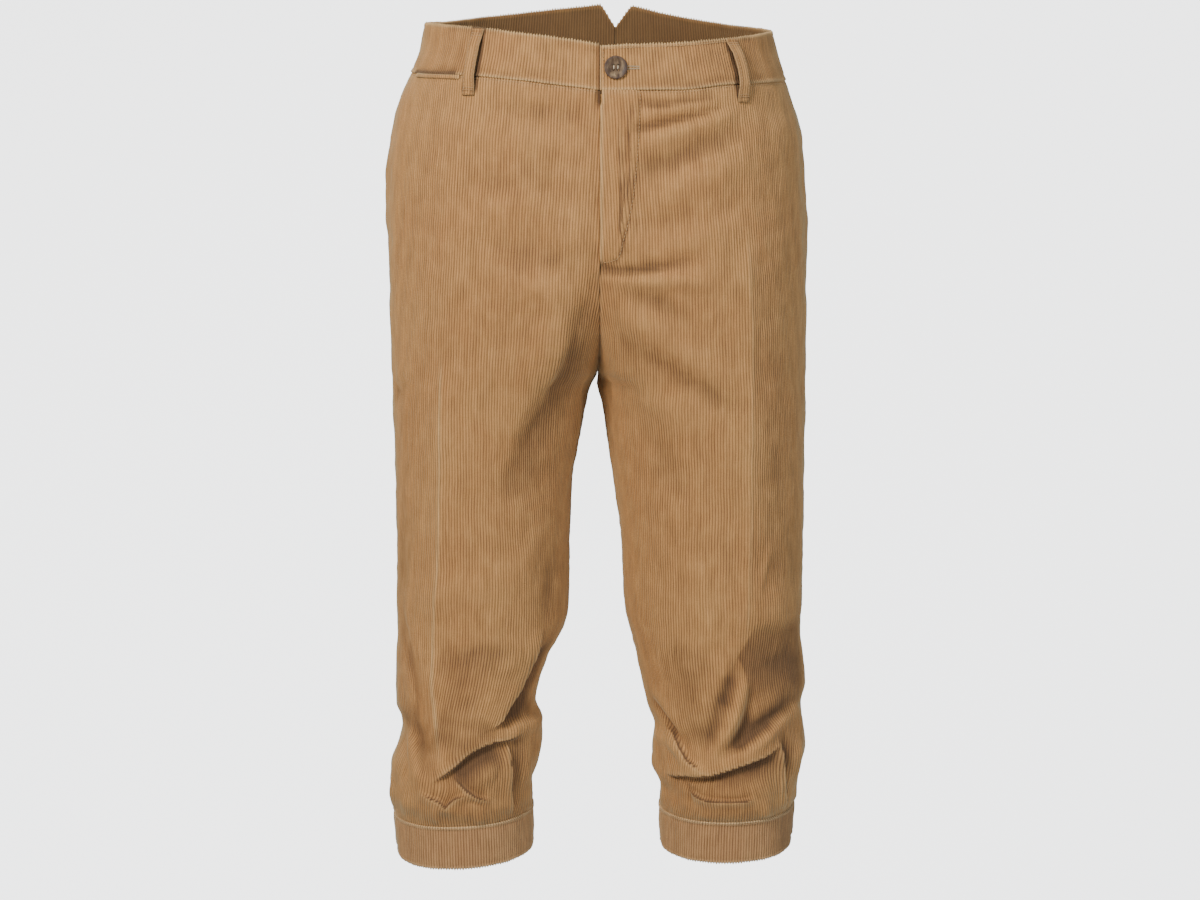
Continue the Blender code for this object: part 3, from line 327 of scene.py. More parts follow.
# painted shade over hollows and over cloth turned from the light, and painted light where the depth is
# below zero: depth, reach to the left of the line and to its right (0 ends it sharply), points down or
# inwards
DARKER = {RIGHT: [
    (-1.5, 30, 0, [(35, -300), (36, -443), (40, -517), (25, -589)]),
    (3.2, 30, 32, [(8, -512), (8, -545), (6, -575), (8, -600)]),
    (3.8, 11, 9, [(-26, -594), (-42, -582), (-60, -584), (-94, -593)]),
    (4.0, 12, 14, [(30, -600), (16, -602), (2, -609), (-15, -602), (-33, -588)]),
    (1.5, 0, 38, [(-76, -200), (-70, -217), (-66, -242), (-66, -266), (-55, -293), (-37, -317),
                  (-26, -335), (-19, -354), (-16, -379), (-16, -400)]),
    (2.6, 14, 16, [(74, -510), (54, -550), (36, -590), (26, -626)]),
    (3.6, 15, 16, [(12, -636), (-6, -633), (-20, -630), (-42, -624)]),
    (1.5, 20, 20, [(56, -640), (36, -628), (8, -618), (-20, -614), (-54, -600)]),
    (1.8, 12, 12, [(-14, -504), (-22, -530), (-34, -562), (-52, -584), (-66, -594)]),
    (1.9, 14, 14, [(66, -494), (54, -522), (46, -552), (36, -580)]),
    (1.8, 12, 12, [(2, -646), (-18, -640), (-34, -634), (-52, -624)]),
    (1.8, 11, 11, [(54, -612), (44, -632), (34, -656)]),
    (2.4, 6, 6, [(-31, -606), (-40, -603), (-52, -609), (-63, -609)]),
    (1.6, 0, 18, [(-49, -608), (-50, -622), (-56, -644), (-60, -680)]),
    (2.6, 14, 5, [(-75, -523), (-82, -550), (-73, -571), (-60, -583)])], LEFT: [
    (2.0, 44, 0, [(27, -140), (28, -200), (29, -239), (27, -317), (26, -406), (28, -479), (28, -504)]),
    (3.9, 78, 0, [(28, -476), (28, -502), (22, -517), (14, -530), (18, -541), (20, -557), (18, -578)]),
    (3.4, 11, 10, [(98, -579), (61, -581), (44, -587), (32, -592), (22, -599), (14, -605), (8, -611),
                   (2, -619)]),
    (3.0, 28, 28, [(-22, -508), (-24, -560), (-24, -590), (-20, -618)]),
    (2.0, 8, 8, [(2, -612), (16, -605), (30, -600), (48, -594)]),
    (1.0, 14, 14, [(10, -380), (12, -430), (14, -480), (8, -516)]),
    (1.5, 12, 12, [(4, -536), (6, -556), (8, -578), (14, -600)]),
    (1.5, 15, 15, [(86, -396), (90, -446), (96, -496), (94, -540), (84, -600), (84, -650)]),
    (4.2, 16, 18, [(-26, -638), (0, -630), (20, -628), (44, -625), (80, -624)]),
    (1.9, 8, 8, [(6, -545), (2, -560), (-3, -578)]),
    (2.8, 4, 4, [(-64, -44), (-47, -47), (-33, -46), (-9, -42), (10, -38)]),
    (1.5, 3.5, 3.5, [(-71, -69), (-57, -66), (-44, -64), (-27, -60), (-5, -54), (24, -46)]),
    (2.2, 4, 4, [(-108, -184), (-92, -187), (-76, -187), (-58, -186), (-36, -181)]),
    (3.2, 5, 5, [(-66, -40), (-67, -54), (-70, -68), (-74, -84), (-78, -100)]),
    (3.0, 4.5, 5, [(-68, -94), (-70, -112), (-72, -130), (-75, -148), (-79, -164), (-82, -180)]),
    (2.2, 2.2, 2.2, [(-79, -100), (-79, -125), (-80, -146), (-81, -168)])]}
# pressed creases down the front and the back of the legs: height, points
PRESSED = {RIGHT: [
    (2.8, [(35, -250), (34, -300), (34, -354), (36, -443), (40, -517), (35, -554), (25, -589),
           (18, -632)]),
    (2.2, [(270, -290), (268, -430), (262, -540)])], LEFT: [
    (3.4, [(28, -150), (28, -200), (29, -239), (27, -317), (26, -406), (24, -479), (23, -512)]),
    (2.2, [(264, -300), (266, -440), (262, -548)])]}
# where the cords swing sideways round the folds: place, height, reach across, reach down, shift
SWINGS = {RIGHT: [
    (74, -596, 36, 56, -20), (18, -652, 16, 16, -6), (-62, -318, 34, 60, 7), (-46, -600, 24, 30, 9),
    (-70, -400, 40, 60, 5), (220, -600, 50, 40, 9), (320, -420, 40, 70, -6)], LEFT: [
    (52, -560, 30, 30, -9), (36, -640, 28, 24, -9), (-52, -626, 26, 24, 8), (-84, -560, 26, 36, 6),
    (230, -606, 50, 40, -8), (310, -430, 40, 70, 6)]}
# small gathers above the knee seam: distance from the grain line, top height, width, depth
GATHERS = {RIGHT: [
    (-84, -650, 6, 2.4), (-18, -672, 5, 1.6), (22, -668, 5, 1.8), (58, -656, 7, 2.2),
    (86, -646, 6, 2.6), (128, -654, 7, 2.6), (158, -662, 6, 2.2), (196, -648, 7, 2.6),
    (232, -660, 6, 2.2), (268, -652, 7, 2.8), (300, -664, 6, 2.0)], LEFT: [
    (-86, -652, 7, 2.4), (-62, -668, 5, 2.0), (-24, -674, 5, 1.6), (34, -660, 6, 2.2),
    (96, -650, 6, 2.6), (122, -662, 6, 2.2), (152, -648, 7, 2.6), (190, -660, 6, 2.2),
    (226, -650, 7, 2.8), (260, -664, 6, 2.2), (290, -654, 7, 2.4)]}

# ---------------------------------------------------------------- form
def track(rows, column, z):
    """One table column read smoothly at heights z."""
    table = np.array(rows, float)
    if table[0, 0] > table[-1, 0]:
        table = table[::-1]
    x, y = table[:, 0], table[:, column]
    h = np.diff(x)
    d = np.diff(y) / h
    m = np.zeros(len(y))
    same = d[:-1] * d[1:] > 0
    m[1:-1][same] = 2 * d[:-1][same] * d[1:][same] / (d[:-1] + d[1:])[same]
    m[0], m[-1] = d[0], d[-1]
    z = np.clip(z, x[0], x[-1])
    i = np.clip(np.searchsorted(x, z) - 1, 0, len(h) - 1)
    t = (z - x[i]) / h[i]
    return ((2 * t**3 - 3 * t**2 + 1) * y[i] + (t**3 - 2 * t**2 + t) * h[i] * m[i]
            + (3 * t**2 - 2 * t**3) * y[i + 1] + (t**3 - t**2) * h[i] * m[i + 1])


def smooth(t):
    """An even step from 0 to 1 as t goes from 0 to 1."""
    t = np.clip(t, 0, 1)
    return t * t * (3 - 2 * t)


def bell(x, width):
    """1 at x = 0, falling away smoothly over the width."""
    return np.exp(-(x / width) ** 2)


def both_ends(where, share):
    """0 at both ends of a line and 1 between them, rising over this share of its length."""
    return smooth(np.minimum(where, 1 - where) / share)


def pair(x, y):
    return np.stack([x, y], 1)


def bend(p0, v0, p1, v1, n):
    """Cubic curves from p0 to p1, one per height, n points each, the last left out."""
    t = np.linspace(0, 1, n, endpoint=False)[None, :, None]
    a, b = p0[:, None], (p0 + v0)[:, None]
    c, d = (p1 - v1)[:, None], p1[:, None]
    return (1 - t)**3 * a + 3 * t * (1 - t)**2 * b + 3 * t**2 * (1 - t) * c + t**3 * d


def sections(side, z, n=CURVE_POINTS):
    """Section lines of one half at heights z, and the distance along them from the grain line."""
    col = 1 if side < 0 else 2
    leg = z <= FORK_Z
    grain = track(FRONT, col, z)
    front = pair(grain * track(FRONT, 4, z), track(FRONT, 3, z))
    out = pair(track(OUTSEAM, col, z), track(OUTSEAM, 3, z))
    back = pair(track(BACK, col, z), track(BACK, 3, z))
    seam = pair(track(INSEAM, col, z), track(INSEAM, 3, z))
    turn_f, turn_b = [np.radians(np.where(leg, 90, track(RISE, c, z))) for c in (5, 6)]
    apart = -SEAM_GAP * side
    rise_f = pair(track(RISE, 1, z) + apart * np.sin(turn_f), track(RISE, 2, z))
    rise_b = pair(track(RISE, 3, z) + apart * np.sin(turn_b), track(RISE, 4, z))
    start = np.where(leg[:, None], seam, rise_f)
    end = np.where(leg[:, None], seam, rise_b)
    k, none = ROUNDNESS, 0 * z
    fx, fy = abs(front - start).T * k
    ox, oy = abs(front - out).T * k
    bx, by = abs(back - out).T * k
    ex, ey = abs(back - end).T * k
    go_f = fx * np.cos(turn_f) + fy * np.sin(turn_f)
    go_b = ex * np.cos(turn_b) + ey * np.sin(turn_b)
    line = np.concatenate([
        bend(start, pair(side * go_f * np.cos(turn_f), -go_f * np.sin(turn_f)),
             front, pair(side * fx, none), n),
        bend(front, pair(side * ox, none), out, pair(none, oy), n),
        bend(out, pair(none, by), back, pair(-side * bx, none), n),
        bend(back, pair(-side * ex, none), end,
             pair(-side * go_b * np.cos(turn_b), -go_b * np.sin(turn_b)), n),
        end[:, None]], 1)
    step = np.linalg.norm(np.diff(line, axis=1), axis=2)
    arc = np.concatenate([np.zeros((len(z), 1)), np.cumsum(step, 1)], 1)
    origin = [np.interp(abs(g), abs(x), d) for g, x, d in
              zip(grain, line[:, :2 * n, 0], arc[:, :2 * n])]
    return line, arc - np.array(origin)[:, None], n


class Half:
    """Smooth base surface of one half of the garment, read by distance a and height z."""

    def __init__(self, side):
        self.side = side
        self.z = np.arange(TOP_Z, LOW_Z, -SECTION_STEP)
        line, arc, n = sections(side, self.z)
        self.lo, self.hi, self.out = arc[:, 0], arc[:, -1], arc[:, 2 * n]
        f = np.linspace(0, 1, SAMPLES)
        grid = np.zeros((len(self.z), SAMPLES, 3))
        for k in range(len(self.z)):
            a = self.lo[k] + f * (self.hi[k] - self.lo[k])
            grid[k, :, 0] = np.interp(a, arc[k], line[k, :, 0])
            grid[k, :, 1] = np.interp(a, arc[k], line[k, :, 1])
        grid[:, :, 2] = self.z[:, None]
        along = np.gradient(grid, axis=1)
        down = np.gradient(grid, axis=0)
        normal = np.cross(along, down) * -side
        normal /= np.linalg.norm(normal, axis=2)[..., None]
        self.grid = np.concatenate([grid, normal], 2)

    def edge(self, which, z):
        return np.interp(-z, -self.z, getattr(self, which))

    def ends(self, z):
        """Where the half starts and ends at heights z: the centre seams, or the inseam twice."""
        return self.edge("lo", z), self.edge("hi", z)

    def read(self, a, z):
        """Points and outward normals at distances a and heights z."""
        lo, hi = self.ends(z)
        u = np.clip((a - lo) / (hi - lo), 0, 1) * (SAMPLES - 1)
        v = np.clip((self.z[0] - z) / SECTION_STEP, 0, len(self.z) - 1)
        i = np.minimum(v.astype(int), len(self.z) - 2)
        j = np.minimum(u.astype(int), SAMPLES - 2)
        p, q = (v - i)[..., None], (u - j)[..., None]
        g = self.grid
        out = ((1 - p) * ((1 - q) * g[i, j] + q * g[i, j + 1])
               + p * ((1 - q) * g[i + 1, j] + q * g[i + 1, j + 1]))
        return out[..., :3], out[..., 3:]


def soften(points, steps=5):
    """A smooth line through a few points."""
    p = np.array(points, float)
    p = np.concatenate([[2 * p[0] - p[1]], p, [2 * p[-1] - p[-2]]])
    t = np.linspace(0, 1, steps, endpoint=False)[:, None]
    out = [0.5 * (2 * b + (c - a) * t + (2 * a - 5 * b + 4 * c - d) * t**2
                  + (3 * b - a - 3 * c + d) * t**3)
           for a, b, c, d in zip(p[:-3], p[1:-2], p[2:-1], p[3:])]
    return np.concatenate(out + [p[-2:-1]])


def near_line(points, a, z):
    """How a, z lies to a soft line: distance, place along it, side (1 on its left), way to its right."""
    line = soften(points)
    best = np.full(a.shape, FAR_OFF)
    where, turn_a, turn_z = np.zeros(a.shape), np.zeros(a.shape), np.zeros(a.shape)
    hand = np.ones(a.shape)
    for i in range(len(line) - 1):
        d = line[i + 1] - line[i]
        ra, rz = a - line[i, 0], z - line[i, 1]
        t = np.clip((ra * d[0] + rz * d[1]) / (d @ d), 0, 1)
        far = np.hypot(ra - t * d[0], rz - t * d[1])
        near = far < best
        best = np.where(near, far, best)
        where = np.where(near, (i + t) / (len(line) - 1), where)
        hand = np.where(near, np.where(d[0] * rz - d[1] * ra > 0, 1, -1), hand)
        right = np.array([d[1], -d[0]]) / np.hypot(*d)
        turn_a, turn_z = np.where(near, right[0], turn_a), np.where(near, right[1], turn_z)
    return best, where, hand, (turn_a, turn_z)


def live_part(points, reach, a, z):
    """Which of a, z are within reach of the box round the points."""
    across, heights = zip(*points)
    return ((z > min(heights) - reach) & (z < max(heights) + reach)
            & (a > min(across) - reach) & (a < max(across) + reach))


def rise_and_fall(where):
    """Share of a fold's height along it, from its start to its end."""
    return np.sin(np.pi * np.clip(where, 0.02, 0.98)) ** 0.6


def ripples(a, z):
    """Slight unevenness of worn cloth."""
    total = np.zeros(np.broadcast(a, z).shape)
    for wave, way, start, height in RIPPLES:
        turned = a * np.cos(np.radians(way)) + z * np.sin(np.radians(way))
        total += height * np.sin(2 * np.pi * turned / wave + start)
    return total


def relief(half, a, z):
    """Height of all folds of one half over its base surface."""
    total = ripples(a, z)
    lo, hi = half.ends(z)
    girth = np.where(z <= FORK_Z, hi - lo, NO_GIRTH)
    gathers = [(depth, width, width, [(at, top), (at, GATHER_END)])
               for at, top, width, depth in GATHERS[half.side]]
    for height, left_width, right_width, points in FOLDS[half.side] + gathers:
        for turn in (-1, 0, 1):
            turned = a + turn * girth
            live = live_part(points, FOLD_REACH * max(left_width, right_width), turned, z)
            if live.any():
                far, where, hand, _ = near_line(points, turned[live], z[live])
                width = np.where(hand > 0, left_width, right_width)
                total[live] += height * rise_and_fall(where) * bell(far, width)
    for live, height, width, _, off, ends, _ in laps(half, a, z):
        over = bell(off, width)
        under = 1.5 * bell(off, 1.9) - 0.5 * bell(off, 0.7 * width + 3)
        total[live] += height * ends * np.where(off > 0, over, under)
    for height, far, ends in pressed_lines(half, a, z):
        total += height * ends * np.exp(-far / 11)
    return total * smooth((-36 - z) / 14) * smooth((z - KNEE[half.side][0] + 1) / 9)


def laps(half, a, z):
    """Each overhanging fold near a, z; off is the distance onto it, below zero beside it."""
    for height, width, hang, points in LAPS[half.side]:
        live = live_part(points, FOLD_REACH * width, a, z)
        if live.any():
            far, where, hand, right = near_line(points, a[live], z[live])
            ends = both_ends(where, 0.22)
            yield live, height, width, hang, far * hand, ends, right


def overhang(half, a, z):
    """Where the laps carry the cloth, how deep the painted shade beside them is, and the worn pile and
    painted highlight on their lips.
    """
    move_a, move_z, shade, lip_wear_and_highlight = [np.zeros(a.shape) for _ in range(4)]
    for live, height, _, hang, off, ends, right in laps(half, a, z):
        push = hang * ends * bell(off - 0.5, 3)
        move_a[live] += push * right[0]
        move_z[live] += push * right[1]
        # painted shade beside the lap, and worn pile with a painted highlight on its lip
        dark = 0.75 * bell(off, 1.4) + 0.25 * bell(off, 4)
        shade[live] += ends * min(height / 2.6, 1) * np.where(off < 0.4, dark, 0)
        lip_wear_and_highlight[live] += ends * 0.45 * smooth((height - 1.6) / 0.8) * bell(off - 1.4, 0.9)
    return a + move_a, z + move_z, shade, lip_wear_and_highlight


def darker(half, a, z):
    """Depth of the painted shade along the DARKER lines, over hollows and cloth turned from the light; below
    zero, painted light.
    """
    total = np.zeros(a.shape)
    for depth, left_reach, right_reach, points in DARKER[half.side]:
        far, where, hand, _ = near_line(points, a, z)
        ends = both_ends(where, 0.18)
        reach = np.where(hand > 0, left_reach, right_reach) + 0.01
        sharp = min(left_reach, right_reach) == 0
        fade = smooth(far / 2.2) * np.exp(-(far / reach) ** 4) if sharp else bell(far, reach)
        total += depth * ends * fade
    return total


def pressed_lines(half, a, z):
    """Each pressed crease: its height, the distance from it, and how it fades at its ends."""
    for height, points in PRESSED[half.side]:
        far, where, _, _ = near_line(points, a, z)
        yield height, far, both_ends(where, 0.12)


def swing(half, c, z):
    """Sideways shift of the cords of the cloth."""
    shift = 0.3 * np.sin(z / 17 + c / 31) + 0.2 * np.sin(z / 7.3 - c / 19)
    for at, height, across, down, amount in SWINGS[half.side]:
        shift += amount * np.exp(-((c - at) / across) ** 2 - ((z - height) / down) ** 2)
    return shift


def under_loops(side, share, z):
    """Where the belt loops keep the light off the cloth behind them."""
    shade = np.zeros(np.broadcast(share, z).shape)
    for _, loop_side, path in BELT_LOOPS:
        if loop_side == side:
            line = soften(path, 6)
            middle = np.interp(-z, -line[:, 1], line[:, 0])
            inside = smooth((z - line[-1, 1] - 1) / 4) * smooth((line[0, 1] - 1 - z) / 4)
            shade += inside * smooth((LOOP_WIDE * 0.62 / LOOP_GIRTH - abs(share - middle)) * LOOP_GIRTH / 2.2)
    return shade


HALF = {RIGHT: Half(RIGHT), LEFT: Half(LEFT)}


def waist_height(side, share, top):
    """Height of the waistband's top edge or of its seam, by the share of the way round to the back."""
    col = (1 if side < 0 else 3) + (1 if top else 0)
    return track(WAIST, col, share)


def knee_height(side, a, lower=False):
    """Height of the knee seam, or of the lower edge of the knee band."""
    seam, edge, lean = KNEE[side]
    base = edge if lower else seam
    p, _ = HALF[side].read(a, np.full(np.shape(a), base))
    level = base + lean * (p[..., 0] - side * 120)
    return level + (0.05 * p[..., 1] if lower else 0.0)


def fly_line(z):
    """Distance of the fly stitching from the centre front."""
    drop = np.clip((FLY_TURN_Z - z) / (FLY_TURN_Z - FLY_END_Z), 0, 1)
    return FLY_WIDTH * np.sqrt(1 - drop**2)


def fly_lift(side, e, z):
    """Height of the fly over the panels; e is the distance from the centre front."""
    if side == LEFT:
        return FLY_LIFT * smooth((fly_line(z) - e) / 4) * smooth((z - FLY_END_Z) / 6)
    return -0.6 * smooth((9 - e) / 8) * smooth((z - FLY_END_Z) / 10)


# ---------------------------------------------------------------- cloth meshes
def cord_columns(start, end):
    """Places across the cloth of the points of its cords, from start to end."""
    first, last = int(np.floor(start / WALE)), int(np.ceil(end / WALE))
    place = [(k + share) * WALE for k in range(first, last) for share, _ in WALE_PROFILE]
    return np.array(place + [last * WALE])


def columns_within(start, end):
    """Cord columns between start and end, with one column on each of the two."""
    place = cord_columns(start, end)
    return np.concatenate([[start], place[(place > start + SLIVER) & (place < end - SLIVER)], [end]])


def cord_height(a):
    """Height of the cords over their grooves, from 0 to 1."""
    shares, heights = zip(*WALE_PROFILE, (1.0, 0.0))
    return np.interp((a / WALE) % 1.0, shares, heights)


def cord_pile(a, z):
    """How full each cord is along its length."""
    k = np.floor(a / WALE)
    return 0.88 + 0.12 * np.sin(z / 9 + 2.4 * k) * np.sin(z / 23 + 1.7 * k) + 0.06 * np.sin(z / 3.1 + 4.1 * k)


def volume(points, faces):
    """Six times the volume inside the faces, below zero where they look inwards."""
    total = 0.0
    by_size = {}
    for f in faces:
        by_size.setdefault(len(f), []).append(f)
    for size, group in by_size.items():
        v = points[np.array(group)]
        for n in range(1, size - 1):
            total += (v[:, 0] * np.cross(v[:, n], v[:, n + 1])).sum()
    return total


def closed_mesh(name, points, faces):
    """A smooth mesh whose faces look outwards."""
    mesh = bpy.data.meshes.new(name)
    mesh.from_pydata(points.tolist(), [], faces)
    mesh.update()
    if volume(points, faces) < 0:
        mesh.flip_normals()
    mesh.shade_smooth()
    return mesh


def add_object(name, data):
    obj = bpy.data.objects.new(name, data)
    bpy.context.scene.collection.objects.link(obj)
    return obj


def cloth_object(name, points, faces, marks, uv, replaced, cloth):
    """A cloth piece with its marks on its points and its flat cut as its UV map."""
    mesh = closed_mesh(name, points, faces)
    for label, values in marks.items():
        mesh.attributes.new(label, "FLOAT", "POINT").data.foreach_set("value", values)
    corner = np.zeros(len(mesh.loops), int)
    mesh.loops.foreach_get("vertex_index", corner)
    layer = mesh.uv_layers.new(name="cut")
    layer.data.foreach_set("uv", (uv[corner] * MM).reshape(-1))
    obj = add_object(name, mesh)
    obj.data.materials.append(cloth)
    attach(obj, "root")
    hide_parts(replaced)
    return obj


def without_repeats(ring):
    """A face's corners with each run of the same corner taken once."""
    return [v for n, v in enumerate(ring) if v != ring[n - 1]]


def grid_faces(grid, flip):
    """Faces of a grid of point numbers; where two corners are the same, the face is a triangle."""
    q = np.stack([grid[:-1, :-1], grid[1:, :-1], grid[1:, 1:], grid[:-1, 1:]], -1).reshape(-1, 4)
    if flip:
        q = q[:, ::-1]
    whole = (q[:, 0] != q[:, 3]) & (q[:, 1] != q[:, 2])
    rings = [without_repeats(f) for f in q[~whole].tolist()]
    return q[whole].tolist() + [ring for ring in rings if len(ring) > 2]


def rim_faces(out_at, in_at, step):
    """Faces that close the four edges between an outer and an inner grid."""
    rows, cols = out_at.shape
    inner_cols = in_at.shape[1]
    faces = []
    for i in range(rows - 1):
        for col, kol, flip in ((0, 0, False), (cols - 1, inner_cols - 1, True)):
            ring = [out_at[i, col], in_at[i, kol], in_at[i + 1, kol], out_at[i + 1, col]]
            faces.append([int(v) for v in (ring[::-1] if flip else ring)])
    for i, flip in ((0, True), (rows - 1, False)):
        for m in range(inner_cols - 1):
            run = [int(v) for v in out_at[i, m * step:min((m + 1) * step, cols - 1) + 1]]
            ring = without_repeats(run[::-1] + [int(in_at[i, m]), int(in_at[i, m + 1])])
            if len(set(ring)) > 2:
                faces.append(ring[::-1] if flip else ring)
    return faces


def make_cloth(name, outer, inner, rib, painted_shade_and_light, wear_and_highlight, uv, first, last, step, replaced):
    """Closed thin shell from a grid of outer points and one of inner points, every step columns.

    first and last are the columns where each row really starts and ends; the ones beyond
    rest on its ends and are left out.
    """
    rows, cols = outer.shape[:2]
    inner_cols = inner.shape[1]
    row = np.arange(rows)[:, None]
    out_at = row * cols + np.clip(np.arange(cols)[None, :], first[:, None], last[:, None])
    in_at = rows * cols + row * inner_cols + np.clip(np.arange(inner_cols)[None, :], first[:, None] // step,
                                                     -(-last[:, None] // step))
    faces = grid_faces(out_at, False) + grid_faces(in_at, True) + rim_faces(out_at, in_at, step)
    points = np.concatenate([outer.reshape(-1, 3), inner.reshape(-1, 3)]) * MM
    extra = rows * inner_cols
    uv = np.concatenate([uv.reshape(-1, 2), uv[:, ::step][:, :inner_cols].reshape(-1, 2)])
    used = np.unique(np.concatenate([np.array(f) for f in faces]))
    renumber = np.full(len(points), -1)
    renumber[used] = np.arange(len(used))
    faces = [renumber[f].tolist() for f in faces]
    marks = {label: np.concatenate([values.reshape(-1), np.zeros(extra)])[used]
             for label, values in (("rib", rib), ("painted_shade_and_light", painted_shade_and_light), ("wear_and_highlight", wear_and_highlight))}
    marks["inside"] = np.repeat([0.0, 1.0], [rows * cols, extra])[used]
    return cloth_object(name, points[used], faces, marks, uv[used], replaced, CORDUROY)


# ---------------------------------------------------------------- legs
def sideways(half, a, z):
    """Share of a fold's sideways swing that is left near the centre seams, where two halves meet."""
    e = np.minimum(a - half.edge("lo", z), half.edge("hi", z) - a)
    return 1 - (1 - smooth(e / 12)) * (1 - smooth((FORK_Z - z) / 25))


def rows_between(top, bottom):
    """Heights of mesh rows, closer over the folds and at both ends."""
    z = [top] + [top - inset for inset in EDGE_ROWS]
    while z[-1] > bottom + LAST_ROW_ROOM:
        z.append(z[-1] - next(step for low, step in ROW_STEPS if z[-1] > low))
    return np.array(z[:-1] + [bottom + inset for inset in EDGE_ROWS[::-1]] + [bottom])


def panel_edges(side, part, z):
    """Both ends of the half, and where the panel starts and ends, at heights z."""
    lo, hi = HALF[side].ends(z)
    out = HALF[side].edge("out", z)
    start, end = (lo, out) if part == "front" else (out, hi)
    return lo, hi, start, end


def fly_edge(a, z, start, lo, zone, height, shade, wear_and_highlight):
    """Left front: the rounded hem of the fly, with worn pile and a painted highlight, the tape behind it and
    its sunk line of stitching, with painted shade along it.
    """
    hem = np.clip((a - start) / HEM_ROUND, 0, 1)
    height = height - zone * (1.0 - np.sqrt(1 - (1 - hem) ** 2))
    height = height + TAPE_LIFT * smooth((FLY_TAPE - (a - lo)) / 2.2) * smooth((z - FLY_END_Z) / 4)
    wear_and_highlight = np.maximum(wear_and_highlight, 0.75 * zone * bell(a - start - 0.8, 1.7))
    off_seam = near_line(FLY_SEAM, a, z)[0]
    height = height - 0.8 * bell(off_seam, 1.3)
    shade = shade + (0.15 + 0.3 * smooth((-140 - z) / 30)) * bell(off_seam, 1.4)
    return height, shade, wear_and_highlight


def behind_fly(a, z, lo, height, shade):
    """Right front: it lies deeper beside the fly and has painted shade there, most where the fly stands open.
    """
    gap = smooth((z - (FLY_OPEN_Z - 2)) / 8)
    height = height - 2.4 * smooth((5 - a + lo) / 3) * gap
    shade = shade + (0.1 + 0.9 * gap) * smooth((z - FLY_END_Z) / 12) * bell(a - lo, 0.9 + gap)
    return height, shade


def leg_panel(name, side, part):
    """One front or back, from the waist seam to the knee seam, with its cords down the leg."""
    half = HALF[side]
    front = part == "front"
    base = rows_between(PANEL_TOP, PANEL_LOW)[:, None]
    _, _, start, end = panel_edges(side, part, np.linspace(PANEL_TOP, PANEL_LOW, 200))
    place = cord_columns(start.min(), end.max() + 0.01)
    to_waist = smooth((base - FITTED_TOP) / (PANEL_TOP - FITTED_TOP))
    to_knee = smooth((FITTED_LOW - base) / (FITTED_LOW - PANEL_LOW))
    z = np.repeat(base, len(place), 1)
    for _ in range(FITTING_ROUNDS):
        lo, hi, start, end = panel_edges(side, part, z)
        if front and side == LEFT:
            start = start + FLY_GAP * smooth((z - FLY_OPEN_Z) / 8)
        a = np.clip(place[None, :], start, end)
        top = waist_height(side, (a - lo) / (hi - lo), False) + TUCK
        low = knee_height(side, a) - TUCK
        z = base + (top - base[0]) * to_waist + (low - base[-1]) * to_knee
    fly_zone = smooth((z - FLY_END_Z + 4) / 6) if front else 0 * z
    level = np.minimum(top - z, z - low) - TUCK
    edge = np.minimum(a - start + NO_SEAM * fly_zone, end - a)
    rib = cord_height(a) * cord_pile(a, z)
    cut = np.stack([a, z], -1)
    a = a + swing(half, a, z) * smooth(np.minimum(a - start, end - a) / 16)
    height = relief(half, a, z)
    moved_a, moved_z, shade, lip_wear_and_highlight = overhang(half, a, z)
    keep = smooth(np.minimum(a - start, end - a) / 8) * smooth((level - 2) / 6)
    # painted shade behind the belt loops and in the seams; worn pile along the seams and on the laps' lips,
    # which also get a painted highlight
    shade = shade + under_loops(side, (a - lo) / (hi - lo), z)
    wear_and_highlight = np.maximum(0.3 * bell(np.minimum(edge, np.abs(level)), 2.4), lip_wear_and_highlight)
    shade = shade + 0.22 * bell(edge, 0.8)
    # pale lines along the pressed creases: worn pile and a painted highlight
    for _, far, ends in pressed_lines(half, a, z):
        wide = 1.3 + 0.6 * smooth((-520 - z) / 50)
        wear_and_highlight = np.maximum(wear_and_highlight, PRESS_WEAR_AND_HIGHLIGHT[side] * ends * bell(far, wide))
    if front:
        height = height + fly_lift(side, a - lo, z)
    if front and side == LEFT:
        height, shade, wear_and_highlight = fly_edge(a, z, start, lo, fly_zone, height, shade, wear_and_highlight)
    if front and side == RIGHT:
        height, shade = behind_fly(a, z, lo, height, shade)
    dip = (SEAM_DIP * np.clip(1 - edge / SEAM_ROLL, 0, 1) ** 2
           + 0.6 * np.clip(1 - level / 2.4, 0, 1) ** 2 + 0.75 * np.clip(-level, 0, TUCK)
           + 0.4 * bell(level - SEAM_STITCH, 0.9))
    # painted shade along the waist and knee seams; from the folds' height, the painted shade and the DARKER
    # lines comes the pile's painted light and shade
    shade = shade + 0.25 * bell(level, 1.1)
    painted_shade_and_light = height * (1 - np.minimum(shade, 1)) - SHADE_DEPTH * shade - darker(half, a, z)
    a = a + (moved_a - a) * keep
    z = z + (moved_z - z) * keep
    p, n = half.read(a, z)
    n[..., 0] *= sideways(half, a, z)
    plain = height - dip
    outer = p + n * (plain + WALE_HEIGHT * (rib - 0.5) * (1 - 0.35 * wear_and_highlight))[..., None]
    inner = p + n * (plain - WALL)[..., None]
    step = len(WALE_PROFILE)
    first = np.array([np.searchsorted(place, s, side="right") - 1 for s in start[:, 0]])
    last = np.array([np.searchsorted(place, e, side="left") for e in end[:, -1]])
    obj = make_cloth(name + "_cloth", outer, inner[:, ::step], rib, painted_shade_and_light, wear_and_highlight, cut,
                     np.clip(first, 0, None), np.clip(last, None, len(place) - 1), step, name)


# ---------------------------------------------------------------- bands
def round_rows():
    """Once round the section of a doubled band: share of its height, side of the wall (1 out, -1 in)."""
    return ([(f, 1.0) for f in BAND_FACE] + [(0.995, 0.7), (1.0, 0.0), (0.995, -0.7)]
            + [(f, -1.0) for f in BAND_FACE[::-1]] + [(0.005, -0.7), (0.0, 0.0), (0.005, 0.7)])


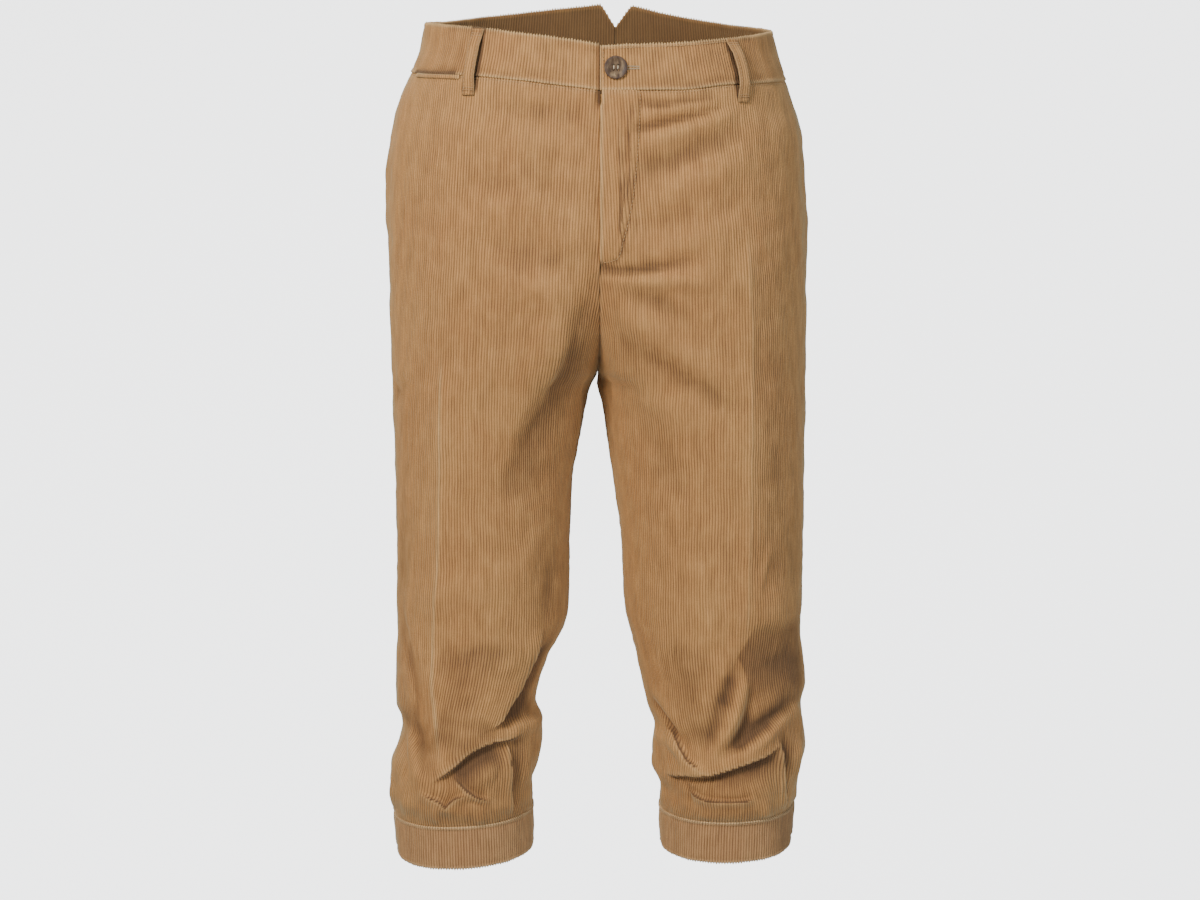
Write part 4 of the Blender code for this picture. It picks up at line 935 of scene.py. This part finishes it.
def doubled_band(name, p_of, e, a_wale, middle, shade, replaced, cloth, seam_at=0.0):
    """A band of doubled cloth: p_of(e, f) gives points and normals; middle is its mid-wall height.

    seam_at is the edge (0 low, 1 high) that is sewn to the panels and stands up in a roll.
    """
    section = round_rows()
    f = np.array([s[0] for s in section])[:, None] + 0 * e[None, :]
    way = np.array([s[1] for s in section])[:, None]
    rib = cord_height(a_wale)[None, :] * cord_pile(a_wale[None, :], BAND_HEIGHT * f * way)
    p, n = p_of(e, f)
    inset = np.minimum(e - e[0], e[-1] - e)
    bulge = np.sqrt(np.clip(1 - np.clip(1 - inset / BAND_END_ROUND, 0, 1) ** 2, 0.02, 1))[None, :]
    at_seam = bell(f - seam_at, 0.06)
    half_wall = (BAND_WALL / 2 + WALE_HEIGHT * (rib - 0.7) * (1 - 0.7 * at_seam)) * bulge
    rolls = sum(rise * bell(abs(f - seam_at) - at, wide) for at, rise, wide in BAND_LINES) * (way > 0)
    uneven = 0.8 * ripples(a_wale[None, :] + 60, BAND_HEIGHT * f)
    points = p + n * (middle + uneven + way * half_wall + rolls)[..., None]
    fold = (1 - abs(way)) * np.where(f > 0.5, 1.0, -1.0) * np.where(abs(f - seam_at) < 0.5, 0.2, 1.0)
    points[..., 2] += EDGE_BEAD * fold * (rib - 0.5)
    count, cols = f.shape
    at = np.arange(count)[:, None] * cols + np.arange(cols)[None, :]
    nxt = np.roll(at, -1, 0)
    q = np.stack([at[:, :-1], nxt[:, :-1], nxt[:, 1:], at[:, 1:]], -1).reshape(-1, 4)
    faces = q.tolist() + [at[::-1, 0].tolist(), at[:, -1].tolist()]
    uv = np.stack([a_wale[None, :] + 0 * f, f * BAND_HEIGHT * np.sign(way + 0.01)], -1)
    # pale edges and ends of the band: worn pile and a painted highlight; shade(e, f) gives the band's painted
    # shade
    wear_and_highlight = 0.95 * bell(np.minimum(f, 1 - f), 0.05)
    marks = {
        "rib": rib,
        "painted_shade_and_light": -BAND_SHADE_DEPTH * shade(e, f) * (way > -0.5),
        "wear_and_highlight": np.maximum(wear_and_highlight, 0.8 * bell(inset, 1.6)[None, :]) * (way > -0.9),
        "inside": np.clip(-way, 0, 1) * np.where(f < 0.95, 1.0, 0.75)}
    marks = {label: (values + 0 * rib).reshape(-1).astype(float) for label, values in marks.items()}
    return cloth_object(name, points.reshape(-1, 3) * MM, faces, marks, uv.reshape(-1, 2), replaced, cloth)


def ends_at(side, z):
    """Both ends of a half at one height, as plain numbers."""
    return [float(v) for v in HALF[side].ends(np.array(z))]


def waist_place(side, e, f):
    """Points of a waistband at distance e from the centre front and share f of its height."""
    half = HALF[side]
    lo, hi = half.ends(np.full(e.shape, WAIST_Z))
    share = e / (hi - lo)
    low = waist_height(side, share, False)
    top = waist_height(side, share, True)
    slope = NOTCH_Z + (hi - lo - e) * (NOTCH_TOP_Z - NOTCH_Z) / NOTCH[side]
    top = top - NOTCH_ROUND * np.log1p(np.exp((top - slope) / NOTCH_ROUND))
    z = low + f * (top - low)
    lo_z, hi_z = half.ends(z)
    return half.read(lo_z + share * (hi_z - lo_z), z)


def waistband(name, side):
    """One half of the waistband; the right one runs on under the left one at the front."""
    lo, hi = ends_at(side, WAIST_Z)
    girth = hi - lo
    a = columns_within(lo if side == LEFT else lo - LAP, hi)
    middle = np.full(len(a), BAND_PROUD - BAND_WALL / 2)
    if side == RIGHT:
        middle = middle - SINK * smooth((10 - (a - lo)) / 8.5)
        middle = middle - 0.7 * bell(a - lo - 18, 1.3)

    def p_of(e, f):
        e = np.broadcast_to(e, f.shape)
        main, under = waist_place(side, np.maximum(e, 0), f), waist_place(-side, np.maximum(-e, 0), f)
        return [np.where((e >= 0)[..., None], m, u) for m, u in zip(main, under)]

    def shade(e, f):
        # painted shade behind the belt loops, towards the left band's outer end, at the step onto the
        # underlap and in the coin pocket slit; darker in soft patches too
        dark = under_loops(side, e / girth, -32 + BAND_HEIGHT * f)
        dark = dark + (0.13 * smooth((e - 30) / 50) if side == LEFT else 0)
        dark = dark + 0.16 * np.clip(0.5 + 1.6 * ripples(0.8 * e + 30, 90 * f), 0, 2)
        if side == RIGHT:
            slit = smooth((e + lo - WELT[0]) / 3) * smooth((WELT[1] + 6 - e - lo) / 6)
            dark = dark + bell(e - 0.3, 1.7) + 1.3 * slit * bell(f, 0.085)
        return dark

    obj = doubled_band(name + "_cloth", p_of, a - lo, a, middle[None, :], shade, name, CORDUROY)


def knee_round(side):
    """Where a knee band starts, the leg's girth there, and the far end of the half."""
    middle = (KNEE[side][0] + KNEE[side][1]) / 2
    lo, hi = ends_at(side, middle)
    return float(HALF[side].edge("out", np.array(middle))) + KNEE_LAP_AT, hi - lo, hi


def round_leg(side, e):
    """Distance from the grain line of a place that is e along the knee band."""
    start, girth, hi = knee_round(side)
    place = start + e
    return np.where(place > hi, place - girth, place)


def knee_place(side, e, f):
    """Points of a knee band at distance e along it and share f of its height."""
    place = round_leg(side, e)
    low, top = knee_height(side, place, True), knee_height(side, place)
    z = low + f * (top - low)
    return HALF[side].read(np.broadcast_to(place, z.shape), z)


def lap_rise(e, girth):
    """How much further a knee band stands out where it laps over its own start."""
    return (BAND_WALL + CLEAR) * smooth((e - girth + LAP_STEP) / LAP_STEP)


def knee_band(name, side):
    start, girth, _ = knee_round(side)
    a = columns_within(start, start + girth + KNEE_LAP)
    e = a - start
    middle = BAND_PROUD - BAND_WALL / 2 + lap_rise(e, girth)

    def p_of(e, f):
        return knee_place(side, e, f)

    def shade(e, f):
        return BAND_SHADE[side] * smooth((round_leg(side, e) - 15) / 65) + 0 * f

    obj = doubled_band(name + "_cloth", p_of, e, a, middle[None, :], shade, name, PRESSED_CORDUROY,
                       seam_at=1.0)


# ---------------------------------------------------------------- small strips
def flat_strip(name, p, n, height, rib_at, wall, replaced, painted_shade_and_light=0.0):
    """A small single strip: p, n grids of the surface, height of its inner face over it."""
    rib = cord_height(rib_at)[None, :] + 0 * height
    across = np.abs(np.linspace(-1, 1, p.shape[1]))[None, :]
    edge = np.clip((1 - across) / 0.12, 0, 1) ** 0.5
    outer = p + n * (height + wall * (0.35 + 0.65 * edge) + 0.5 * WALE_HEIGHT * (rib - 0.6))[..., None]
    inner = p + n * height[..., None]
    rows, cols = height.shape
    # pale edges of the strip: worn pile and a painted highlight
    wear_and_highlight = 0.6 * np.clip((across - 0.75) / 0.2, 0, 1) + 0 * height
    cut = np.stack([rib_at[None, :] + 0 * height, p[..., 2]], -1)
    obj = make_cloth(name, outer, inner, rib, painted_shade_and_light + 0 * rib, wear_and_highlight, cut,
                     np.zeros(rows, int), np.full(rows, cols - 1), 1, replaced)


def belt_loop(name, side, path):
    """A belt loop that stands off the waistband between its sewn ends."""
    half = HALF[side]
    line = soften(path, 14)
    t = np.linspace(0, 1, len(line))[:, None]
    across = np.linspace(-0.5, 0.5, LOOP_COLUMNS) * LOOP_WIDE
    z = line[:, 1:2] + 0 * across[None, :]
    lo, hi = half.ends(z)
    a = lo + line[:, :1] * (hi - lo) + across[None, :] * (1 - 0.12 * np.sin(np.pi * t))
    stand = CLEAR + LOOP_GAP * smooth(t / 0.3) * smooth((1 - t) / 0.3)
    stand = stand + (BAND_PROUD + 0.2) * smooth((0.86 - t) / 0.12)
    p, n = half.read(a, z)
    height = stand + relief(half, a, z)
    bar = 0.4 * (bell(t - 0.05, 0.025) + bell(t - 0.94, 0.025))
    seam = 0.45 * bell(abs(across)[None, :] - LOOP_WIDE / 2 + 1.9, 0.7)
    # painted shade in the stitched seams and at the bar tacks
    flat_strip(name + "_cloth", p, n, height, across, LOOP_WALL - bar - seam, name,
               painted_shade_and_light=-9 * seam - 6 * bar)
    face = p + n * (height + LOOP_WALL - 0.1)[..., None]
    runs = [(face[2:-2, k], n[2:-2, k]) for k in LOOP_SEAM_COLUMNS]
    sew(name + "_stitching", runs, name, THREAD_TAN, thick=0.26)
    tacks = [(face[k, 1:-1] + n[k, 1:-1] * 0.1, n[k, 1:-1]) for k in LOOP_TACK_ROWS]
    sew(name + "_bar_tacks", tacks, name, THREAD_TAN, pitch=1.3, length=1.5, thick=0.3)


def coin_pocket_welt():
    half = HALF[RIGHT]
    place = cord_columns(*WELT)
    a = place[(place >= WELT[0]) & (place <= WELT[1])][None, :] + np.zeros((WELT_ROWS, 1))
    lo, hi = half.ends(a * 0 + SEAM_Z)
    seam = waist_height(RIGHT, (a - lo) / (hi - lo), False)
    f = np.linspace(0, 1, WELT_ROWS)[:, None]
    z = seam + 0.1 - f * 3.3
    p, n = half.read(a, z)
    height = relief(half, a, z) + 0.1 + 0.5 * np.sin(np.pi * f) ** 0.6 + 0 * a
    flat_strip("coin_pocket_welt_cloth", p, n, height, a[0], 1.1, "coin_pocket_welt")


def fly_underlap():
    """The strip behind the fly, across the centre front."""
    z = np.linspace(*UNDERLAP_Z, 50)[:, None] + np.zeros((1, 31))
    share = np.where(z < FLY_TURN_Z, np.maximum(fly_line(z) / FLY_WIDTH, 0.25), 1.0)
    across = np.linspace(*UNDERLAP_ACROSS, 31)
    e = across[None, :] * share
    halves = [HALF[RIGHT], HALF[LEFT]]
    at = [h.edge("lo", z) + abs(e) for h in halves]
    folds = np.minimum(*[relief(h, a, z) for h, a in zip(halves, at)]) - 1.2
    reads = [h.read(a, z) for h, a in zip(halves, at)]
    p, n = [np.where((e < 0)[..., None], r, l) for r, l in zip(*reads)]
    flat_strip("fly_underlap_cloth", p, n, folds - WALL - 2.6, across,
               UNDERLAP_WALL, "fly_underlap")


# ---------------------------------------------------------------- sewing
def interpolate(at, run, values):
    return np.stack([np.interp(at, run, values[:, i]) for i in range(3)], -1)


def sew(name, runs, replaced, thread, pitch=STITCH_PITCH, length=STITCH, thick=THREAD):
    """Stitches along lines of points with their normals, joined into one mesh."""
    points, faces = [], []
    sides = THREAD_SIDES
    turns = np.linspace(0, 2 * np.pi, sides, endpoint=False)
    for line, up in runs:
        run = np.concatenate([[0], np.cumsum(np.linalg.norm(np.diff(line, axis=0), axis=1))])
        count = max(int(round(run[-1] / pitch)), 1)
        at = (np.arange(count) + 0.5) * run[-1] / count
        centre, n = interpolate(at, run, line), interpolate(at, run, up)
        ahead = interpolate(at + 0.3, run, line) - interpolate(at - 0.3, run, line)
        ahead /= np.linalg.norm(ahead, axis=1)[:, None]
        n /= np.linalg.norm(n, axis=1)[:, None]
        across = np.cross(ahead, n)
        for c, t, u, b in zip(centre, ahead, n, across):
            base = len(points)
            for along, rise, girth in STITCH_FORM:
                middle = c + t * along * length / 2 + u * rise * thick
                for w in turns:
                    points.append(middle + girth * thick * (u * np.cos(w) * 0.8 + b * np.sin(w)))
            for i in range(len(STITCH_FORM) - 1):
                near = base + sides * i
                far = near + sides
                for j in range(sides):
                    k = (j + 1) % sides
                    faces.append([near + j, near + k, far + k, far + j])
            last = base + sides * (len(STITCH_FORM) - 1)
            faces += [[base + j for j in reversed(range(sides))], [last + j for j in range(sides)]]
    obj = add_object(name, closed_mesh(name, np.array(points) * MM, faces))
    obj.data.materials.append(thread)
    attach(obj, "root")
    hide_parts(replaced)


def on_front(side, points, lift=0.2):
    """A line on the outer face of a front, through points (distance from the grain line, height)."""
    half = HALF[side]
    line = soften(points, 16)
    a, z = line[:, 0], line[:, 1]
    p, n = half.read(a, z)
    height = relief(half, a, z) + fly_lift(side, a - half.edge("lo", z), z)
    return p + n * (height + lift)[:, None], n


def below_waist_seam(side, start, end, drop):
    """A line on a half, drop below the waist seam, from start to end off the centre front."""
    half = HALF[side]
    e = np.linspace(start, end, 120)
    lo, hi = half.ends(np.full(e.shape, SEAM_Z))
    z = waist_height(side, e / (hi - lo), False) - drop
    p, n = half.read(lo + e, z)
    return p + n * (relief(half, lo + e, z) - 0.25)[:, None], n


def on_waistband(side, places, lift=0.35):
    """A line on a waistband's outer face, through (distance from the centre front, share of height)."""
    line = np.array(places, float)
    t = np.linspace(0, len(line) - 1, 24 * (len(line) - 1) + 1)
    e, f = [np.interp(t, np.arange(len(line)), line[:, i]) for i in (0, 1)]
    p, n = waist_place(side, e, f)
    return p + n * (BAND_PROUD + lift - CLEAR), n


def on_waistband_spot(e, z, reach):
    """A short upright line on the left waistband."""
    half = HALF[LEFT]
    zs = z + np.array([-reach / 2, reach / 2])
    p, n = half.read(half.edge("lo", zs) + e, zs)
    return p + n * (BAND_PROUD + 0.25), n


def on_knee_band(side, f, start, end):
    """A line round the outer face of a knee band, from start to end past the leg's girth."""
    girth = knee_round(side)[1]
    e = np.linspace(start, girth + end, 200)
    p, n = knee_place(side, e, f)
    return p + n * (BAND_PROUD + 0.05 + lap_rise(e, girth))[:, None], n


def buttonhole_lines():
    """The two sides of the waist buttonhole, stitch by stitch."""
    lines = []
    for k in range(HOLE_STITCHES):
        e = BUTTON_IN + HOLE_FROM + HOLE_PITCH * k
        reach = 1.7 - 0.05 * k
        for way in (-1, 1):
            middle = (0.5 * reach + 0.3) * way
            lines.append(on_waistband_spot(e, BUTTON_Z + middle, reach))
    return lines


def seams():
    """All the visible rows of stitching but the belt loops' own."""
    sew("fly_stitching", [on_front(LEFT, FLY_SEAM)], "front_left", THREAD_TAN)
    tacks = [on_front(LEFT, [(a, z) for z in (-176.5, -183)], 0.3) for a in (-100.5, -99.8, -99.1)]
    sew("fly_bar_tack", tacks, "front_left", THREAD_TAN, pitch=6, length=6)
    for side, label in SIDES:
        lo, hi = ends_at(side, SEAM_Z)
        sew(f"waist_seam_stitching_{label}", [below_waist_seam(side, 2.5, hi - lo - 1.5, SEAM_STITCH)],
            "waistband_" + label, THREAD_TAN)
        sew(f"knee_band_stitching_{label}",
            [on_knee_band(side, share, 1.5, KNEE_LAP - 2.5) for share in KNEE_STITCH_AT],
            "knee_band_" + label, THREAD_TAN)
    sew("waistband_end_stitching", [on_waistband(LEFT, [(2.7, 0.07), (2.7, 0.93), (120, 0.93)])],
        "waistband_left", THREAD_TAN)
    sew("buttonhole_stitching", buttonhole_lines(), "waistband_left", THREAD_PALE,
        pitch=9, length=1.6, thick=0.4)


# ---------------------------------------------------------------- buttons
def turned_disc(name, radius, thick):
    """A disc with a raised rim, hollowed face and rounded edges; radius and thick in metres."""
    bpy.ops.object.select_all(action="DESELECT")
    bpy.ops.mesh.primitive_cylinder_add(vertices=56, radius=radius, depth=thick, location=(0, 0, 0))
    disc = bpy.context.object
    disc.name = name
    bpy.ops.object.mode_set(mode="EDIT")
    bpy.ops.mesh.select_mode(type="FACE")
    bpy.ops.mesh.select_all(action="DESELECT")
    form = bmesh.from_edit_mesh(disc.data)
    for face in form.faces:
        face.select_set(face.normal.z > 0.9)
    bmesh.update_edit_mesh(disc.data)
    for inwards, down in BUTTON_FACE:
        bpy.ops.mesh.inset(thickness=inwards * radius, depth=down * MM)
    bpy.ops.object.mode_set(mode="OBJECT")
    rounding = disc.modifiers.new("rounding", "BEVEL")
    rounding.width = 0.45 * MM
    rounding.segments = 3
    rounding.limit_method = "ANGLE"
    rounding.angle_limit = SHARP_ANGLE
    bpy.ops.object.modifier_apply(modifier=rounding.name)
    return disc


def drill_holes(disc, spread, radius):
    """Four holes through the disc, spread to each side of its middle."""
    for dx, dy in ((1, 1), (1, -1), (-1, 1), (-1, -1)):
        bpy.ops.mesh.primitive_cylinder_add(vertices=16, radius=radius, depth=8 * MM,
                                            location=(dx * spread, dy * spread, 0))
        drill = bpy.context.object
        bpy.ops.object.select_all(action="DESELECT")
        bpy.context.view_layer.objects.active = disc
        hole = disc.modifiers.new("hole", "BOOLEAN")
        hole.operation = "DIFFERENCE"
        hole.object = drill
        bpy.ops.object.modifier_apply(modifier=hole.name)
        bpy.data.objects.remove(drill, do_unlink=True)


def horn_button(name, side, a, z, stand, size, thick):
    """Four-hole horn button with a raised rim, sewn on with its own thread."""
    radius = size / 2 * MM
    spread = HOLE_SPREAD * size * MM
    disc = turned_disc(name + "_horn", radius, thick * MM)
    drill_holes(disc, spread, HOLE_RADIUS * size * MM)
    disc.select_set(True)
    bpy.ops.object.shade_smooth_by_angle(angle=SHARP_ANGLE)
    far = np.array([v.co.to_2d().length for v in disc.data.vertices]) / radius
    rim = disc.data.attributes.new("rim", "FLOAT", "POINT")
    rim.data.foreach_set("value", 0.6 * smooth((far - 0.7) / 0.2))
    at, n = HALF[side].read(np.array(float(a)), np.array(float(z)))
    up = Vector(n)
    across = Vector((0, 0, 1)).cross(up).normalized()
    turn = Matrix((across, up.cross(across), up)).transposed().to_4x4()
    middle = Vector(at * MM) + up * (stand + thick / 2) * MM
    disc.data.transform(Matrix.Translation(middle) @ turn)
    disc.data.materials.clear()
    disc.data.materials.append(HORN)
    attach(disc, "root")
    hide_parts(name)
    runs = []
    for dy in (-1, 1):
        ends = [Vector((dy * spread / MM, dx * spread / MM, thick / 2 - 0.55)) for dx in (-1, 1)]
        line = np.array([list((middle / MM) + turn.to_3x3() @ v) for v in ends])
        runs.append((line, np.array([n, n])))
    sew(name + "_thread", runs, name, THREAD_BUTTON, pitch=20, length=2 * spread / MM + 0.5, thick=0.5)


# ---------------------------------------------------------------- materials
def give(tree, node, inputs):
    """Sets each input of a node to a value, or joins it to the output that feeds it."""
    for label, value in inputs.items():
        if hasattr(value, "is_output"):
            tree.links.new(value, node.inputs[label])
        else:
            node.inputs[label].default_value = value


def add_node(tree, kind, inputs=None, **settings):
    node = tree.nodes.new("ShaderNode" + kind)
    for label, value in settings.items():
        setattr(node, label, value)
    give(tree, node, inputs or {})
    return node


def attribute(tree, name):
    return add_node(tree, "Attribute", attribute_name=name).outputs["Fac"]


def remap(tree, value, low, high, to_low, to_high, how="LINEAR"):
    limits = {"From Min": low, "From Max": high, "To Min": to_low, "To Max": to_high}
    return add_node(tree, "MapRange", {"Value": value, **limits}, interpolation_type=how).outputs["Result"]


def mix(tree, factor, a, b, how="MIX"):
    inputs = {MIX_FACTOR: factor, MIX_A: a, MIX_B: b}
    return add_node(tree, "Mix", inputs, data_type="RGBA", blend_type=how).outputs[MIX_RESULT]


def times(tree, a, b):
    return add_node(tree, "Math", {0: a, 1: b}, operation="MULTIPLY").outputs["Value"]


def new_material(name):
    mat = bpy.data.materials.new(name)
    mat.use_nodes = True
    return mat, mat.node_tree, mat.node_tree.nodes["Principled BSDF"]


def nap_group():
    """Colour, roughness and pile height of corduroy from its cords, its worn pile and the painted light,
    shade, highlights and sheen on it.
    """
    g = bpy.data.node_groups.new("corduroy_nap", "ShaderNodeTree")
    for label in CORDUROY_TONES:
        g.interface.new_socket(name=label, in_out="INPUT", socket_type="NodeSocketColor")
    for label, kind in (("Color", "Color"), ("PaintedSheen", "Float"), ("Roughness", "Float"), ("Height", "Float")):
        g.interface.new_socket(name=label, in_out="OUTPUT", socket_type="NodeSocket" + kind)
    given, out = g.nodes.new("NodeGroupInput"), g.nodes.new("NodeGroupOutput")
    cord, groove_and_shade, pale, rubbed_and_highlight = [given.outputs[label] for label in CORDUROY_TONES]
    rib, painted_shade_and_light, wear_and_highlight, inside = [attribute(g, name) for name in ("rib", "painted_shade_and_light", "wear_and_highlight", "inside")]
    cut = add_node(g, "UVMap", uv_map="cut").outputs["UV"]

    def noise(scale, detail, stretch):
        spread = add_node(g, "Mapping", {"Scale": stretch, "Vector": cut}).outputs["Vector"]
        return add_node(g, "TexNoise", {"Scale": scale, "Detail": detail, "Vector": spread}).outputs["Fac"]

    patches = noise(16, 4, (1, 0.7, 1))
    clouds = noise(85, 4, (1, 0.75, 1))
    streaks = noise(420, 4, (1, 0.06, 1))
    pile = noise(1400, 3, (1, 0.6, 1))
    tone = mix(g, remap(g, patches, 0.38, 0.7, 0, 0.4), cord, pale)
    tone = mix(g, remap(g, clouds, 0.46, 0.74, 0, 0.3), tone, pale)
    # painted light: paler on raised folds and where a DARKER depth is below zero
    tone = mix(g, remap(g, painted_shade_and_light, 1.0, 6.0, 0.0, 0.35), tone, pale)
    # worn pile and painted highlights
    tone = mix(g, wear_and_highlight, tone, rubbed_and_highlight)
    # darker between the cords: the ground of the cloth and painted shade, more of it in the hollows
    ground_and_shade_share = times(g, remap(g, rib, 0.05, 0.8, 1, 0), remap(g, clouds, 0.36, 0.66, 1, 0.7))
    ground_and_shade_share = times(g, ground_and_shade_share, remap(g, painted_shade_and_light, -3.0, 1.5, 1, 0.68))
    tone = mix(g, ground_and_shade_share, tone, groove_and_shade)
    # painted shade in hollows, beside the laps, behind the belt loops and in the seams
    tone = mix(g, remap(g, painted_shade_and_light, -0.6, -7.0, 0.0, 0.85), tone, groove_and_shade)
    streaked = mix(g, remap(g, streaks, 0.3, 0.7, 0, 1), (0.86, 0.85, 0.83, 1), (1.1, 1.1, 1.1, 1))
    fine = mix(g, remap(g, pile, 0.25, 0.75, 0, 1), (0.8, 0.79, 0.77, 1), (1.17, 1.17, 1.17, 1))
    final = mix(g, 1.0, mix(g, 1.0, tone, streaked, "MULTIPLY"), fine, "MULTIPLY")
    final = mix(g, remap(g, inside, 0, 1, 0, 0.75), final, (0.1, 0.062, 0.031, 1))
    # the painted sheen shows less in the painted shade and not on worn pile
    lit = times(g, remap(g, painted_shade_and_light, -4.0, 0.0, 0.15, 1), remap(g, pile, 0.3, 0.7, 1, 0.6))
    give(g, out, {
        "Color": final,
        "PaintedSheen": times(g, lit, remap(g, wear_and_highlight, 0, 0.8, 1, 0)),
        "Roughness": remap(g, patches, 0.3, 0.7, 0.82, 0.94),
        "Height": pile})
    return g


def corduroy(name, cord, groove_and_shade, pale, rubbed_and_highlight, edge):
    """Corduroy in its four tones, with a painted sheen: the paler edge tone where the surface turns away."""
    mat, tree, shader = new_material(name)
    tones = {label: (*tone, 1) for label, tone in zip(CORDUROY_TONES, (cord, groove_and_shade, pale, rubbed_and_highlight))}
    nap = tree.nodes.new("ShaderNodeGroup")
    nap.node_tree = NAP
    give(tree, nap, tones)
    # painted sheen: the colour turns towards the edge tone where the surface turns away from the view
    facing = add_node(tree, "LayerWeight", {"Blend": 0.5}).outputs["Facing"]
    turned = remap(tree, facing, 0.32, 1.0, 0.0, 1.0, "SMOOTHSTEP")
    shown = times(tree, turned, nap.outputs["PaintedSheen"])
    bump = add_node(tree, "Bump", {"Strength": 0.35, "Distance": 0.0003, "Height": nap.outputs["Height"]})
    give(tree, shader, {
        "Base Color": mix(tree, shown, nap.outputs["Color"], (*edge, 1)),
        "Roughness": nap.outputs["Roughness"],
        "Normal": bump.outputs["Normal"],
        "Specular IOR Level": 0.15,
        "Sheen Weight": 0.22,
        "Sheen Roughness": 0.45,
        "Sheen Tint": (0.95, 0.8, 0.52, 1)})
    return mat


def thread_material(name, colour, dark):
    mat, tree, shader = new_material(name)
    place = add_node(tree, "TexCoord").outputs["Object"]
    ply = add_node(tree, "TexNoise", {"Scale": 1800, "Vector": place}).outputs["Fac"]
    tone = mix(tree, ply, (*dark, 1), (*colour, 1))
    give(tree, shader, {"Base Color": tone, "Roughness": 0.6, "Specular IOR Level": 0.3})
    return mat


def horn_material():
    """Brown horn: dark brown and tan streaks in clouds."""
    mat, tree, shader = new_material("brown_horn")
    place = add_node(tree, "TexCoord").outputs["Object"]
    stretch = add_node(tree, "Mapping", {"Scale": (1.0, 1.0, 0.45), "Vector": place}).outputs["Vector"]
    clouds = add_node(tree, "TexNoise", {"Scale": 200, "Detail": 4, "Distortion": 1.1, "Vector": stretch})
    tones = add_node(tree, "ValToRGB", {"Fac": clouds.outputs["Fac"]})
    ramp = tones.color_ramp
    for (spot, colour), mark in zip(HORN_TONES[:2], ramp.elements):
        mark.position, mark.color = spot, (*colour, 1)
    for spot, colour in HORN_TONES[2:]:
        ramp.elements.new(spot).color = (*colour, 1)
    tone = mix(tree, attribute(tree, "rim"), tones.outputs["Color"], (0.075, 0.043, 0.034, 1))
    give(tree, shader, {"Base Color": tone, "Roughness": 0.46, "Specular IOR Level": 0.25})
    return mat


NAP = nap_group()
# edge is the tone of the painted sheen
CORDUROY = corduroy("tan_corduroy", cord=(0.55, 0.261, 0.091), groove_and_shade=(0.108, 0.057, 0.03),
                    pale=(0.685, 0.372, 0.136), rubbed_and_highlight=(0.72, 0.44, 0.19), edge=(0.455, 0.375, 0.21))
PRESSED_CORDUROY = corduroy("pressed_corduroy", cord=(0.52, 0.265, 0.112), groove_and_shade=(0.105, 0.056, 0.027),
                            pale=(0.62, 0.352, 0.15), rubbed_and_highlight=(0.7, 0.45, 0.22), edge=(0.475, 0.385, 0.225))
THREAD_TAN = thread_material("tan_thread", (0.62, 0.38, 0.18), (0.4, 0.22, 0.09))
THREAD_PALE = thread_material("pale_thread", (0.56, 0.4, 0.23), (0.36, 0.24, 0.13))
THREAD_BUTTON = thread_material("button_thread", (0.8, 0.66, 0.46), (0.55, 0.42, 0.27))
HORN = horn_material()

# ---------------------------------------------------------------- garment
for part, flat, area in (("front", (0.30, 0.67), 0.168), ("back", (0.35, 0.67), 0.180)):
    for side, label in SIDES:
        leg_panel(f"{part}_{label}", side, part)
for side, label in SIDES:
    waistband("waistband_" + label, side)
for side, label in SIDES:
    knee_band("knee_band_" + label, side)
fly_underlap()
coin_pocket_welt()
for row in BELT_LOOPS:
    belt_loop(*row)
seams()
horn_button("waist_button", LEFT, float(HALF[LEFT].edge("lo", np.array(BUTTON_Z))) + BUTTON_IN, BUTTON_Z,
            1.2, BUTTON_D, 2.4)
for side, label in SIDES:
    middle = (KNEE[side][0] + KNEE[side][1]) / 2
    place = knee_round(side)[0] + KNEE_LAP - 10
    horn_button("knee_button_" + label, side, place, middle + 1, 3.9, KNEE_BUTTON_D, 2.2)


# ---------------------------------------------------------------- stage
def look_at(obj, point):
    obj.rotation_euler = (Vector(point) - obj.location).to_track_quat("-Z", "Y").to_euler()


def lay_floor():
    """Pale floor that curves up into a backdrop."""
    turn = [(0.4 + 1.6 * np.sin(t), 1.6 - 1.6 * np.cos(t)) for t in np.linspace(0, np.pi / 2, 12)]
    profile = [(-6.0, 0.0)] + [(1.6 + y, h) for y, h in turn] + [(3.6, 5.0)]
    verts = [(x, y, FLOOR_Z + h) for x in (-7.0, 7.0) for y, h in profile]
    count = len(profile)
    mesh = bpy.data.meshes.new("floor")
    mesh.from_pydata(verts, [], [(i, i + 1, count + i + 1, count + i) for i in range(count - 1)])
    mesh.shade_smooth()
    floor = add_object("floor", mesh)
    paint, tree, shader = new_material("pale_floor")
    seen = add_node(tree, "LightPath").outputs["Is Camera Ray"]
    give(tree, shader, {
        "Base Color": (0.5, 0.5, 0.5, 1),
        "Roughness": 0.9,
        "Emission Color": (1, 1, 1, 1),
        "Emission Strength": times(tree, seen, FLOOR_GLOW)})
    floor.data.materials.append(paint)


def hang_lamps():
    """Soft light, strongest from the front left."""
    for name, place, size, power, colour in LAMPS:
        data = bpy.data.lights.new(name, "AREA")
        data.size = size
        data.energy = power
        data.color = colour
        lamp = add_object(name, data)
        lamp.location = place
        look_at(lamp, (0, 0, -0.35))


def light_room():
    """Dim cool light all round, behind a white that only the camera sees."""
    world = bpy.data.worlds.new("room")
    world.use_nodes = True
    tree = world.node_tree
    seen = add_node(tree, "LightPath").outputs["Is Camera Ray"]
    shown = mix(tree, seen, (0.185, 0.218, 0.28, 1), (3.3, 3.3, 3.3, 1))
    give(tree, tree.nodes["Background"], {"Color": shown})
    bpy.context.scene.world = world


def set_camera():
    data = bpy.data.cameras.new("camera")
    data.lens = 85.0
    data.sensor_width = 36.0
    camera = add_object("camera", data)
    camera.location = (0, -2.51, 0.05)
    look_at(camera, (0, 0, -0.36))
    bpy.context.scene.camera = camera


lay_floor()
hang_lamps()
light_room()
set_camera()
